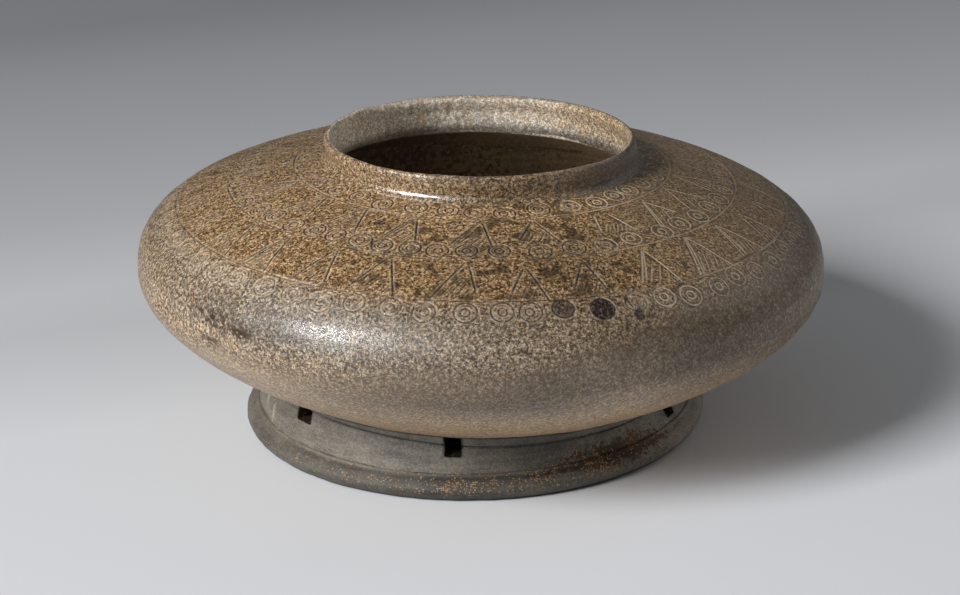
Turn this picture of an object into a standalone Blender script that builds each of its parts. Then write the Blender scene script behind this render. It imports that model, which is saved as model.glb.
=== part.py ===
"""Perforated jar: a squat stoneware jar with a neck collar and a pierced foot ring.

The jar is built from the clay members that a potter forms one by one and lutes
together. Lengths are in metres, +Z is up, and the origin is on the surface that the jar
stands on, below the centre of its widest line. Azimuths are in degrees: 0 faces -Y and
90 faces +X.
"""

import math

import bmesh
import bpy
from mathutils import Matrix, Vector

# Fineness and clearances
SEGMENTS = 48
MERGE_DISTANCE = 0.00001
SEAT_GAP = 0.0003
CUT_OVERRUN = 0.004

# The vessel's outer curves, measured from its widest line
BODY_RADIUS = 0.100
SHOULDER_RISE = 0.040
SHOULDER_BOW_POWER = 0.91
SHOULDER_TURN_POWER = 2.93
BOWL_DROP = 0.057
BOWL_BOW_POWER = 0.83
BOWL_TURN_POWER = 1.81
WALL = 0.006
CURVE_STEPS = 13
INNER_CURVE_STEPS = 8

# The vessel was fired with a slight lean, off the middle of its foot
LEAN_TO_RIGHT_DEG = 1.8
LEAN_TO_BACK_DEG = 1.3
FOOT_OFFSET = 0.0026

# Base disc
BASE_RADIUS = 0.044
BASE_THICKNESS = 0.0045
BASE_CLEARANCE = 0.0081

# Seam at the widest line, with its coil on the inside
SEAM_RISE = 0.0035
SEAM_COIL_HEIGHT = 0.007
SEAM_COIL_THICKNESS = 0.002

# Shoulder opening and turned lines
OPENING_RADIUS = 0.0436
OPENING_FLARE = 0.0014
LINE_SHARES = (0.545, 0.736, 0.887)
LINE_WIDTH = 0.0008
LINE_DEPTH = 0.0004

# Neck collar
COLLAR_HEIGHT = 0.0067
COLLAR_ROOT_THICKNESS = 0.0027
LIP_THICKNESS = 0.0032
LIP_SPREAD = 0.0003
LIP_STEPS = 5

# Coil smoothed round the collar's root
NECK_COIL_HEIGHT = 0.0017
NECK_COIL_REACH = 0.0021
COIL_HOLLOW_SHARE = 0.35

# Foot ring, set out from the base disc
FOOT_MARGIN = 0.0168
FOOT_TOP_THICKNESS = 0.0043
FOOT_FLARE = 0.0032
FOOT_REBATE = 0.0013
FOOT_BOTTOM_THICKNESS = 0.0039
FOOT_TOP_RADIUS = BASE_RADIUS + FOOT_MARGIN
FOOT_SHOULDER_RADIUS = FOOT_TOP_RADIUS + FOOT_FLARE
FOOT_BOTTOM_RADIUS = FOOT_SHOULDER_RADIUS - FOOT_REBATE

# Rolled toe round the foot ring, set out from the rebate that it sits in
TOE_HEIGHT = 0.0070
TOE_BULGE_REACH = 0.0052
TOE_BULGE_HEIGHT = 0.0030
TOE_RIDGE_REACH = 0.0021
TOE_TREAD_REACH = 0.0028
TOE_STEPS = 4

# Windows in the foot ring
WINDOW_WIDTH = 0.0047
WINDOW_HEIGHT = 0.0052
WINDOW_AZIMUTHS_DEG = (-52.0, -6.0, 63.0, 124.0, 185.0, 246.0)

# Luting bead in the corner between the bowl and the foot ring
BEAD_HEIGHT = 0.0021
BEAD_REACH = 0.0023
BEAD_STEP_DEG = 7.5

# Solver for where the leaning bowl's underside lies
UNDERSIDE_ROUNDS = 12

# Fired clay colours, and how rough each surface is
CLAY_FINISHES = {
    "base_clay": ((0.20, 0.185, 0.16), 0.85),
    "bowl_clay": ((0.24, 0.21, 0.165), 0.72),
    "shoulder_glaze": ((0.26, 0.20, 0.125), 0.55),
    "neck_glaze": ((0.27, 0.235, 0.19), 0.50),
    "foot_clay": ((0.13, 0.125, 0.11), 0.75),
    "slip": ((0.17, 0.15, 0.12), 0.70),
}


def curve_point(drop, bow, turn, angle):
    """Returns (radius, distance from the widest line) on an outer curve at an angle."""
    radius = BODY_RADIUS * math.sin(angle) ** (2 / bow)
    away = drop * max(math.cos(angle), 0.0) ** (2 / turn)
    return radius, away


def curve_angle(bow, radius):
    """Returns the curve's angle where it has a radius."""
    return math.asin(min(radius / BODY_RADIUS, 1.0) ** (bow / 2))


def curve_away(drop, bow, turn, radius):
    """Returns how far from the widest line an outer curve lies at a radius."""
    return curve_point(drop, bow, turn, curve_angle(bow, radius))[1]


def shoulder_height(radius):
    """Returns the shoulder's outer height over the widest line."""
    return curve_away(SHOULDER_RISE, SHOULDER_BOW_POWER, SHOULDER_TURN_POWER, radius)


def bowl_depth(radius):
    """Returns the bowl's outer depth under the widest line, flat across the base."""
    outer = max(radius, BASE_RADIUS)
    return curve_away(BOWL_DROP, BOWL_BOW_POWER, BOWL_TURN_POWER, outer)


def offset_curve(drop, bow, turn, start, end, steps, inset):
    """Returns points along an outer curve, moved inwards by inset, from start to end."""
    points = []
    nudge = (end - start) / (steps * SEGMENTS)
    for step in range(steps + 1):
        angle = start + (end - start) * step / steps
        radius, away = curve_point(drop, bow, turn, angle)
        before = curve_point(drop, bow, turn, angle - nudge)
        after = curve_point(drop, bow, turn, min(angle + nudge, math.pi / 2))
        along = Vector((after[0] - before[0], after[1] - before[1])).normalized()
        points.append((radius + inset * along.y, away - inset * along.x))
    return points


def radius_at(points, height):
    """Returns the radius of a rising or falling outline where it passes a height."""
    for low, high in zip(points, points[1:]):
        if min(low[1], high[1]) <= height <= max(low[1], high[1]):
            share = (height - low[1]) / (high[1] - low[1])
            return low[0] + (high[0] - low[0]) * share
    return min(points, key=lambda point: abs(point[1] - height))[0]


SEAM_ANGLE = math.pi / 2
SEAM_INNER_RADIUS = BODY_RADIUS - WALL
BASE_DEPTH = bowl_depth(BASE_RADIUS)
EQUATOR_HEIGHT = BASE_CLEARANCE + BASE_DEPTH
BASE_JOINT_DEPTH = BASE_DEPTH - BASE_THICKNESS


def bowl_radius(depth):
    """Returns the bowl's outer radius at a depth under the widest line."""
    share = (1 - (depth / BOWL_DROP) ** BOWL_TURN_POWER) ** (1 / BOWL_BOW_POWER)
    return BODY_RADIUS * share


BASE_JOINT_RADIUS = bowl_radius(BASE_JOINT_DEPTH)


def bowl_outer_curve(start_radius):
    """Returns the bowl's outer points, from the widest line down to a radius."""
    start = curve_angle(BOWL_BOW_POWER, start_radius)
    points = offset_curve(
        BOWL_DROP, BOWL_BOW_POWER, BOWL_TURN_POWER, SEAM_ANGLE, start, CURVE_STEPS, 0.0
    )
    return [(radius, -away) for radius, away in points]


def bowl_inner_curve():
    """Returns the bowl's inner points, from the base joint up to the widest line."""
    start = curve_angle(BOWL_BOW_POWER, BASE_RADIUS)
    curve = offset_curve(
        BOWL_DROP, BOWL_BOW_POWER, BOWL_TURN_POWER, start, SEAM_ANGLE, INNER_CURVE_STEPS, WALL
    )
    points = [(radius, -away) for radius, away in curve]
    floor = SEAT_GAP - BASE_JOINT_DEPTH
    above = [point for point in points if point[1] > floor]
    return [(radius_at(points, floor), floor)] + above


def shoulder_inner_curve():
    """Returns the shoulder's inner points, from the opening down to the seam."""
    start = curve_angle(SHOULDER_BOW_POWER, OPENING_RADIUS + OPENING_FLARE)
    points = offset_curve(
        SHOULDER_RISE,
        SHOULDER_BOW_POWER,
        SHOULDER_TURN_POWER,
        start,
        SEAM_ANGLE,
        INNER_CURVE_STEPS,
        WALL,
    )
    edge = OPENING_RADIUS + OPENING_FLARE
    inside = [point for point in points if point[0] > edge and point[1] > SEAM_RISE + SEAT_GAP]
    at_edge = (edge, points[0][1])
    return [at_edge] + inside


def turned(name, outline, closed=True):
    """Turns an outline of (radius, height) points, outer side first, round the Z axis."""
    mesh = bpy.data.meshes.new(name)
    bm = bmesh.new()
    corners = [bm.verts.new((radius, 0.0, height)) for radius, height in outline]
    for first, second in zip(corners, corners[1:]):
        bm.edges.new((first, second))
    if closed:
        bm.edges.new((corners[-1], corners[0]))
    bm.to_mesh(mesh)
    bm.free()
    piece = bpy.data.objects.new(name, mesh)
    screw = piece.modifiers.new("turn", "SCREW")
    screw.axis = "Z"
    screw.angle = 2 * math.pi
    screw.steps = SEGMENTS
    screw.render_steps = SEGMENTS
    screw.use_merge_vertices = True
    screw.merge_threshold = MERGE_DISTANCE
    screw.use_smooth_shade = True
    return piece


def settled(piece):
    """Gives a piece the mesh that its modifiers make, and removes them."""
    ground = bpy.context.scene.collection
    ground.objects.link(piece)
    graph = bpy.context.evaluated_depsgraph_get()
    mesh = bpy.data.meshes.new_from_object(piece.evaluated_get(graph))
    ground.objects.unlink(piece)
    piece.modifiers.clear()
    piece.data = mesh
    return piece


def clay_material(name):
    """Returns the Principled material of one of the clay finishes."""
    color, roughness = CLAY_FINISHES[name]
    material = bpy.data.materials.new(name)
    material.use_nodes = True
    shader = material.node_tree.nodes["Principled BSDF"]
    shader.inputs["Base Color"].default_value = (*color, 1.0)
    shader.inputs["Roughness"].default_value = roughness
    shader.inputs["Metallic"].default_value = 0.0
    material.diffuse_color = (*color, 1.0)
    return material


def lean_matrix():
    """Returns the vessel's place: above the foot at the widest line, leaning a little."""
    right = Matrix.Rotation(math.radians(LEAN_TO_RIGHT_DEG), 4, "Y")
    back = Matrix.Rotation(math.radians(-LEAN_TO_BACK_DEG), 4, "X")
    return Matrix.Translation((0.0, 0.0, EQUATOR_HEIGHT)) @ right @ back


def underside(x, y):
    """Returns the height of the leaning bowl's underside over a place on the ground."""
    to_vessel = lean_matrix().inverted()
    height = EQUATOR_HEIGHT - bowl_depth(math.hypot(x, y))
    for _ in range(UNDERSIDE_ROUNDS):
        local = to_vessel @ Vector((x, y, height))
        depth = bowl_depth(math.hypot(local.x, local.y))
        height -= local.z + depth
    return height


def follow_underside(mesh, centre, chosen):
    """Hangs the chosen vertices from the bowl: their height becomes a drop under it."""
    for vertex in mesh.vertices:
        if chosen(vertex):
            below = underside(vertex.co.x + centre.x, vertex.co.y + centre.y)
            vertex.co.z = below + vertex.co.z


def base_disc():
    """The flat disc that closes the bottom."""
    bottom = -BASE_DEPTH
    top = -BASE_JOINT_DEPTH
    middle = (BASE_DEPTH + BASE_JOINT_DEPTH) / 2
    outline = [
        (0.0, top),
        (BASE_JOINT_RADIUS, top),
        (bowl_radius(middle), -middle),
        (BASE_RADIUS, bottom),
        (0.0, bottom),
    ]
    return turned("base_disc", outline, closed=False)


def lower_bowl():
    """The conical lower wall, bevelled at its rim to take the shoulder."""
    joint = BASE_JOINT_DEPTH - SEAT_GAP
    outer = bowl_outer_curve(bowl_radius(joint))
    inner = bowl_inner_curve()
    rim = (SEAM_INNER_RADIUS, SEAM_RISE)
    return turned("lower_bowl", [rim] + outer + inner)


def turned_line(radius):
    """Returns the three points of a line cut into the shoulder at a radius."""
    half = LINE_WIDTH / 2
    return [
        (radius - half, shoulder_height(radius - half)),
        (radius, shoulder_height(radius) - LINE_DEPTH),
        (radius + half, shoulder_height(radius + half)),
    ]


def shoulder_dome():
    """The domed shoulder, with its opening, its turned lines and its bevelled rim."""
    lines = [BODY_RADIUS * share for share in LINE_SHARES]
    start = curve_angle(SHOULDER_BOW_POWER, OPENING_RADIUS)
    curve = offset_curve(
        SHOULDER_RISE,
        SHOULDER_BOW_POWER,
        SHOULDER_TURN_POWER,
        start,
        SEAM_ANGLE,
        CURVE_STEPS,
        0.0,
    )
    outer = [
        point
        for point in curve[:-1]
        if all(abs(point[0] - line) > LINE_WIDTH for line in lines)
    ]
    for line in lines:
        outer += turned_line(line)
    outer.sort(key=lambda point: point[0])
    slope = math.atan2(SEAM_RISE, WALL)
    lift = SEAT_GAP / math.cos(slope)
    outer.append((BODY_RADIUS, lift))
    seam_inner = (SEAM_INNER_RADIUS, SEAM_RISE + lift)
    inner = list(reversed(shoulder_inner_curve()))
    return turned("shoulder_dome", outer + [seam_inner] + inner)


def wall_inside_radius(height):
    """Returns the inner wall's radius near the seam, at a height over the widest line."""
    below = bowl_inner_curve() + [(SEAM_INNER_RADIUS, SEAM_RISE)]
    above = [(SEAM_INNER_RADIUS, SEAM_RISE)] + list(reversed(shoulder_inner_curve()))
    return radius_at(below if height < SEAM_RISE else above, height)


def belly_seam_coil():
    """The coil pressed into the seam on the inside."""
    half = SEAM_COIL_HEIGHT / 2
    top, bottom = SEAM_RISE + half, SEAM_RISE - half
    top_radius = wall_inside_radius(top) - SEAT_GAP
    bottom_radius = wall_inside_radius(bottom) - SEAT_GAP
    middle_radius = min(wall_inside_radius(SEAM_RISE), SEAM_INNER_RADIUS) - SEAT_GAP
    crest = middle_radius - SEAM_COIL_THICKNESS
    outline = [
        (top_radius, top),
        (middle_radius, SEAM_RISE),
        (bottom_radius, bottom),
        (crest, SEAM_RISE - half / 2),
        (crest, SEAM_RISE + half / 2),
    ]
    return turned("belly_seam_coil", outline)


COLLAR_ROOT_RADIUS = OPENING_RADIUS + COLLAR_ROOT_THICKNESS
LIP_RADIUS = OPENING_RADIUS + LIP_SPREAD
LIP_TOP = shoulder_height(LIP_RADIUS) + COLLAR_HEIGHT
LIP_CENTRE_HEIGHT = LIP_TOP - LIP_THICKNESS / 2


def neck_collar():
    """The upright collar, seated on the shoulder, with its rounded lip."""
    bead = LIP_THICKNESS / 2
    outline = []
    for step in range(LIP_STEPS + 1):
        angle = math.pi * (1 - step / LIP_STEPS)
        radius = LIP_RADIUS + bead * math.cos(angle)
        outline.append((radius, LIP_CENTRE_HEIGHT + bead * math.sin(angle)))
    outline.append((COLLAR_ROOT_RADIUS, shoulder_height(COLLAR_ROOT_RADIUS) + SEAT_GAP))
    outline.append((OPENING_RADIUS, shoulder_height(OPENING_RADIUS) + SEAT_GAP))
    return turned("neck_collar", outline)


def collar_face_radius(height):
    """Returns the radius of the collar's outer face at a height."""
    foot = (COLLAR_ROOT_RADIUS, shoulder_height(COLLAR_ROOT_RADIUS))
    head = (LIP_RADIUS + LIP_THICKNESS / 2, LIP_CENTRE_HEIGHT)
    return radius_at([foot, head], height)


def neck_luting_coil():
    """The coil smoothed into the corner between the collar and the shoulder."""
    inner = COLLAR_ROOT_RADIUS + SEAT_GAP
    outer = inner + NECK_COIL_REACH
    foot = shoulder_height(inner) + SEAT_GAP
    head = foot + NECK_COIL_HEIGHT
    face = collar_face_radius(head) + SEAT_GAP
    toe = shoulder_height(outer) + SEAT_GAP
    hollow = Vector(((face + outer) / 2, (head + toe) / 2))
    hollow = hollow.lerp(Vector((inner, foot)), COIL_HOLLOW_SHARE)
    outline = [(face, head), tuple(hollow), (outer, toe), (inner, foot)]
    return turned("neck_luting_coil", outline)


FOOT_CENTRE = Vector((-FOOT_OFFSET, 0.0, 0.0))


def foot_ring():
    """The thrown foot ring, its top pressed to the leaning bowl, with its windows."""
    top_inner = FOOT_TOP_RADIUS - FOOT_TOP_THICKNESS
    bottom_inner = FOOT_BOTTOM_RADIUS - FOOT_BOTTOM_THICKNESS
    seat_drop = SEAT_GAP + SEAT_GAP
    shoulder = TOE_HEIGHT + SEAT_GAP
    outline = [
        (FOOT_TOP_RADIUS, -seat_drop),
        (FOOT_SHOULDER_RADIUS, shoulder),
        (FOOT_BOTTOM_RADIUS, shoulder),
        (FOOT_BOTTOM_RADIUS, 0.0),
        (bottom_inner, 0.0),
        (top_inner, -seat_drop),
    ]
    ring = settled(turned("foot_ring", outline))
    follow_underside(ring.data, FOOT_CENTRE, lambda vertex: vertex.co.z < -SEAT_GAP)
    return ring


def toe_arc(start, end, steps):
    """Returns points from start to end along a quarter of an ellipse, bulging outwards."""
    points = []
    for step in range(steps + 1):
        angle = math.pi / 2 * step / steps
        radius = start[0] + (end[0] - start[0]) * math.sin(angle)
        height = end[1] + (start[1] - end[1]) * math.cos(angle)
        points.append((radius, height))
    return points


def foot_toe_band():
    """The rolled toe round the foot ring's lower edge."""
    inner = FOOT_BOTTOM_RADIUS + SEAT_GAP
    ridge = (FOOT_BOTTOM_RADIUS + TOE_RIDGE_REACH, TOE_HEIGHT)
    bulge = (FOOT_BOTTOM_RADIUS + TOE_BULGE_REACH, TOE_BULGE_HEIGHT)
    tread = (FOOT_BOTTOM_RADIUS + TOE_TREAD_REACH, 0.0)
    upper = toe_arc(ridge, bulge, TOE_STEPS)
    lower = toe_arc(tread, bulge, TOE_STEPS)
    outline = upper + list(reversed(lower))[1:] + [(inner, 0.0), (inner, TOE_HEIGHT)]
    return turned("foot_toe_band", outline)


def direction(azimuth_deg):
    """Returns the level direction of an azimuth."""
    azimuth = math.radians(azimuth_deg)
    return Vector((math.sin(azimuth), -math.cos(azimuth), 0.0))


def window_cutter(number, azimuth_deg):
    """Returns the box that cuts one window through the foot ring, up to the bowl."""
    outward = direction(azimuth_deg)
    inner = FOOT_TOP_RADIUS - FOOT_TOP_THICKNESS - CUT_OVERRUN
    outer = FOOT_SHOULDER_RADIUS + CUT_OVERRUN
    wall = FOOT_CENTRE + outward * FOOT_TOP_RADIUS
    top = underside(wall.x, wall.y)
    high = top + CUT_OVERRUN
    low = top - WINDOW_HEIGHT
    mesh = bpy.data.meshes.new(f"window_cutter_{number}")
    bm = bmesh.new()
    bmesh.ops.create_cube(bm, size=1.0)
    size = Vector((outer - inner, WINDOW_WIDTH, high - low))
    bmesh.ops.scale(bm, vec=size, verts=bm.verts)
    bm.to_mesh(mesh)
    bm.free()
    cutter = bpy.data.objects.new(mesh.name, mesh)
    cutter.location = FOOT_CENTRE + outward * ((inner + outer) / 2)
    cutter.location.z = (high + low) / 2
    cutter.rotation_euler.z = math.atan2(outward.y, outward.x)
    cutter.display_type = "WIRE"
    cutter.hide_render = True
    return cutter


def hug_wall(mesh, centre, chosen):
    """Moves the chosen vertices out to the foot ring's wall, which flares as it falls."""
    for vertex in mesh.vertices:
        if chosen(vertex):
            outward = Vector((vertex.co.x, vertex.co.y, 0.0)).normalized()
            top = centre + outward * FOOT_TOP_RADIUS
            wall_height = underside(top.x, top.y) - TOE_HEIGHT
            reach = FOOT_TOP_RADIUS + SEAT_GAP - FOOT_FLARE * vertex.co.z / wall_height
            vertex.co.x = outward.x * reach
            vertex.co.y = outward.y * reach


def luting_bead(number, start_deg, end_deg):
    """One length of the bead of slip under the bowl, between two windows."""
    inner = FOOT_TOP_RADIUS + SEAT_GAP
    outer = inner + BEAD_REACH
    seat = SEAT_GAP + SEAT_GAP
    section = [(inner, seat), (outer, seat), (inner, seat + BEAD_HEIGHT)]
    bm = bmesh.new()
    first = direction(start_deg)
    corners = [
        bm.verts.new((first.x * radius, first.y * radius, -drop)) for radius, drop in section
    ]
    face = bm.faces.new(corners)
    swing = end_deg - start_deg
    bmesh.ops.spin(
        bm,
        geom=[face, *face.edges, *face.verts],
        axis=(0.0, 0.0, 1.0),
        cent=(0.0, 0.0, 0.0),
        angle=math.radians(swing),
        steps=max(1, round(swing / BEAD_STEP_DEG)),
        use_merge=False,
    )
    bmesh.ops.recalc_face_normals(bm, faces=bm.faces)
    mesh = bpy.data.meshes.new(f"foot_luting_bead_{number}")
    bm.to_mesh(mesh)
    bm.free()
    hug_wall(mesh, FOOT_CENTRE, lambda vertex: vertex.co.z < -BEAD_HEIGHT)
    follow_underside(mesh, FOOT_CENTRE, lambda vertex: True)
    return bpy.data.objects.new(mesh.name, mesh)


def luting_beads():
    """The lengths of the luting bead, each from one window to the next."""
    reach = math.degrees((WINDOW_WIDTH / 2) / FOOT_TOP_RADIUS)
    ends = WINDOW_AZIMUTHS_DEG[1:] + (WINDOW_AZIMUTHS_DEG[0] + 360.0,)
    return [
        luting_bead(number, start + reach, end - reach)
        for number, (start, end) in enumerate(zip(WINDOW_AZIMUTHS_DEG, ends), start=1)
    ]


def clear_scene():
    """Removes what the scene holds."""
    for item in list(bpy.data.objects):
        bpy.data.objects.remove(item)


def new_collection(name):
    """Makes a collection under the scene's own."""
    collection = bpy.data.collections.new(name)
    bpy.context.scene.collection.children.link(collection)
    return collection


def place_parts(collection, parent, pieces):
    """Puts (piece, finish name) pairs in the collection, under a parent."""
    for piece, finish in pieces:
        collection.objects.link(piece)
        piece.parent = parent
        piece.data.materials.clear()
        piece.data.materials.append(bpy.data.materials.get(finish) or clay_material(finish))


def guide(name, collection, matrix):
    """Makes an empty that carries pieces."""
    empty = bpy.data.objects.new(name, None)
    collection.objects.link(empty)
    empty.matrix_world = matrix
    return empty


def cut_windows(ring, collection, parent):
    """Cuts each window out of the foot ring."""
    for number, azimuth_deg in enumerate(WINDOW_AZIMUTHS_DEG, start=1):
        cutter = window_cutter(number, azimuth_deg)
        collection.objects.link(cutter)
        cutter.location -= parent.location
        cutter.parent = parent
        cut = ring.modifiers.new(cutter.name, "BOOLEAN")
        cut.operation = "DIFFERENCE"
        cut.solver = "EXACT"
        cut.object = cutter


def build():
    """Builds the jar."""
    clear_scene()
    parts = new_collection("perforated_jar")
    cutters = new_collection("cutters")
    vessel = guide("vessel", parts, lean_matrix())
    foot = guide("foot", parts, Matrix.Translation(FOOT_CENTRE))
    place_parts(
        parts,
        vessel,
        [
            (base_disc(), "base_clay"),
            (lower_bowl(), "bowl_clay"),
            (belly_seam_coil(), "slip"),
            (shoulder_dome(), "shoulder_glaze"),
            (neck_luting_coil(), "neck_glaze"),
            (neck_collar(), "neck_glaze"),
        ],
    )
    ring = foot_ring()
    place_parts(parts, foot, [(ring, "foot_clay"), (foot_toe_band(), "foot_clay")])
    place_parts(parts, foot, [(bead, "slip") for bead in luting_beads()])
    cut_windows(ring, cutters, foot)


build()
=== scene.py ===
"""Dresses the perforated jar: its clay, ash glaze and ornament, and its studio.

Lengths are in metres, +Z is up, and the jar stands on the floor at height zero. The
vessel has its own axis, which leans a little over the foot. Azimuths are in degrees: 0
faces -Y, where the camera stands, and 90 faces +X.
"""

import logging
import math
from dataclasses import dataclass
from enum import Enum

import bmesh
import bpy
import numpy as np
from mathutils import Matrix, Vector


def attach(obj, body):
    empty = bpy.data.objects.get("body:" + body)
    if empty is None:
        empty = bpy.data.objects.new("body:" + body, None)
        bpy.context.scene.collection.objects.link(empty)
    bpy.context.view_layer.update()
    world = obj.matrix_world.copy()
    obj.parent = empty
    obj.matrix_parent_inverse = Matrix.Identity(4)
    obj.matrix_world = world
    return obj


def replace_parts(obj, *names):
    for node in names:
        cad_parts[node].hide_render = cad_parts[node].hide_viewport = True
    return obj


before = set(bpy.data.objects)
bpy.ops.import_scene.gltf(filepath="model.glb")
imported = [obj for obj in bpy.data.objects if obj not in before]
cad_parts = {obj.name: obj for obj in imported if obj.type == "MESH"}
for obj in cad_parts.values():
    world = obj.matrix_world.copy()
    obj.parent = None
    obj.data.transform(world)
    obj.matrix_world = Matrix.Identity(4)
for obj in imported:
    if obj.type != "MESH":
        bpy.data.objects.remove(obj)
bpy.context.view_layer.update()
LOG = logging.getLogger("perforated_jar")

Array = np.ndarray
Profile = list["ProfilePoint"]
Pairs = tuple[tuple[float, float], ...]
Socket = bpy.types.NodeSocket

MM = 0.001
BODY_RADIUS = 0.100


class Side(Enum):
    """Which way an outer curve runs from the widest line."""

    UP = 1
    DOWN = -1


class Tread(Enum):
    """Which side of a wall a profile point is on."""

    INSIDE = 0.0
    SKIN = 1.0


@dataclass(frozen=True)
class ProfilePoint:
    """A point of an outline that is turned round an axis.

    Attributes:
        radius: Distance from the axis.
        height: Height over the widest line, or over the floor for the foot.
        out: Radial part of the surface's normal.
        up: Upright part of the surface's normal.
        along: Length along the outer curve, from the widest line.
        skin: Whether relief shows here.
    """

    radius: float
    height: float
    out: float = 0.0
    up: float = 0.0
    along: float = 0.0
    skin: Tread = Tread.INSIDE


@dataclass(frozen=True)
class OuterCurve:
    """One of the vessel's two outer curves.

    Attributes:
        reach: Distance from the widest line to where the curve would meet the axis.
        bow: Power that bows the curve across.
        turn: Power that turns it over at the widest line.
        side: Whether it is the shoulder's curve or the bowl's.
    """

    reach: float
    bow: float
    turn: float
    side: Side

    def away(self, radius: Array) -> Array:
        """Returns the distance from the widest line at each radius."""
        share = np.clip(radius / BODY_RADIUS, 0.0, 1.0) ** self.bow
        return self.reach * np.clip(1.0 - share, 0.0, 1.0) ** (1.0 / self.turn)

    def points(self, inner: float, outer: float, step: float) -> Profile:
        """Places points evenly along the curve.

        Args:
            inner: Radius where the run starts.
            outer: Radius where it ends.
            step: Greatest distance between neighbours.

        Returns:
            The points, from the inner radius to the outer one.
        """
        fine = np.linspace(0.02, math.pi / 2, 6000)
        radius = BODY_RADIUS * np.sin(fine) ** (2 / self.bow)
        away = self.reach * np.cos(fine) ** (2 / self.turn)
        away[-1] = 0.0
        length = np.concatenate([[0.0], np.cumsum(np.hypot(np.diff(radius), np.diff(away)))])
        low, high = np.interp([inner, outer], radius, length)
        count = max(1, math.ceil((high - low) / step))
        wanted = np.linspace(low, high, count + 1)
        tangent_r = np.interp(wanted, length, np.gradient(radius, length))
        tangent_a = np.interp(wanted, length, np.gradient(away, length))
        radius, away = np.interp(wanted, length, radius), np.interp(wanted, length, away)
        sign = self.side.value
        return [
            ProfilePoint(r, sign * a, -ta, sign * tr, length[-1] - w, Tread.SKIN)
            for r, a, tr, ta, w in zip(radius, away, tangent_r, tangent_a, wanted)
        ]


SHOULDER_CURVE = OuterCurve(0.040, 0.91, 2.93, Side.UP)
BOWL_CURVE = OuterCurve(0.057, 0.83, 1.81, Side.DOWN)
BASE_RADIUS = 0.044
BASE_CLEARANCE = 0.0081
EQUATOR_HEIGHT = BASE_CLEARANCE + float(BOWL_CURVE.away(np.array(BASE_RADIUS)))
LEAN = (
    Matrix.Translation((0.0, 0.0, EQUATOR_HEIGHT))
    @ Matrix.Rotation(math.radians(1.8), 4, "Y")
    @ Matrix.Rotation(math.radians(-1.3), 4, "X")
)
FOOT_SHIFT = 2.6 * MM
FOOT_PLACE = Matrix.Translation((-FOOT_SHIFT, 0.0, 0.0))


def direction(azimuth: float) -> Vector:
    """Returns the level direction of an azimuth in degrees."""
    turn = math.radians(azimuth)
    return Vector((math.sin(turn), -math.cos(turn), 0.0))


def shortest_turn(azimuth: Array, centre: float) -> Array:
    """Returns how far each azimuth lies from a centre, between -180 and 180 degrees."""
    return (azimuth - centre + 180.0) % 360.0 - 180.0


def bump(distance: Array, width: float) -> Array:
    """Returns a smooth bump that is 1 at no distance and fades over a width."""
    return np.exp(-((distance / width) ** 2))


def smoothstep(value: Array, low: float, high: float) -> Array:
    """Returns 0 at low and 1 at high, with a smooth rise between."""
    share = np.clip((value - low) / (high - low), 0.0, 1.0)
    return share * share * (3.0 - 2.0 * share)


def around(azimuth: Array, stops: Pairs) -> Array:
    """Returns a value that changes evenly between stops of (azimuth, value)."""
    places, values = zip(*stops)
    return np.interp(azimuth, places, values, period=360.0)


@dataclass(frozen=True)
class Facing:
    """A side of the jar where something shows, and fades away round it.

    Attributes:
        azimuth: Its middle.
        spread: How far it reaches, in degrees.
    """

    azimuth: float
    spread: float

    def at(self, azimuth: Array) -> Array:
        """Returns how far each azimuth is on this side, from 0 to 1."""
        return bump(shortest_turn(azimuth, self.azimuth), self.spread)


def waves(azimuth: Array, seed: int, terms: int, lowest: int = 2) -> Array:
    """Adds up waves round the axis, for forms that a hand left uneven.

    Args:
        azimuth: Azimuths in degrees.
        seed: Picks the phases.
        terms: How many waves there are.
        lowest: The wave count of the longest one.

    Returns:
        A value from about -1 to 1 at each azimuth.
    """
    chance = np.random.default_rng(seed)
    turn = np.radians(azimuth)
    total = np.zeros_like(turn)
    for number in range(lowest, lowest + terms):
        phase, size = chance.uniform(0.0, math.tau), chance.uniform(0.5, 1.0)
        total += size * np.sin(number * turn + phase) / math.sqrt(terms)
    return total


def lattice_noise(points: Array, size: float, seed: int) -> Array:
    """Returns smooth noise in space, for forms too soft to be a pattern of colour.

    Args:
        points: One row of x, y and z for each place.
        size: Length of the noise's cells.
        seed: Picks the noise.

    Returns:
        A value from -1 to 1 at each point.
    """
    chance = np.random.default_rng(seed)
    values = chance.uniform(-1.0, 1.0, (32, 32, 32))
    cells = points / size + 16.0
    base = np.floor(cells).astype(int)
    share = cells - base
    share = share * share * (3.0 - 2.0 * share)
    total = np.zeros(len(points))
    for corner in range(8):
        step = np.array([corner & 1, corner >> 1 & 1, corner >> 2 & 1])
        index = (base + step) % 32
        weight = np.prod(np.where(step, share, 1.0 - share), axis=1)
        total += weight * values[index[:, 0], index[:, 1], index[:, 2]]
    return total


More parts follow.
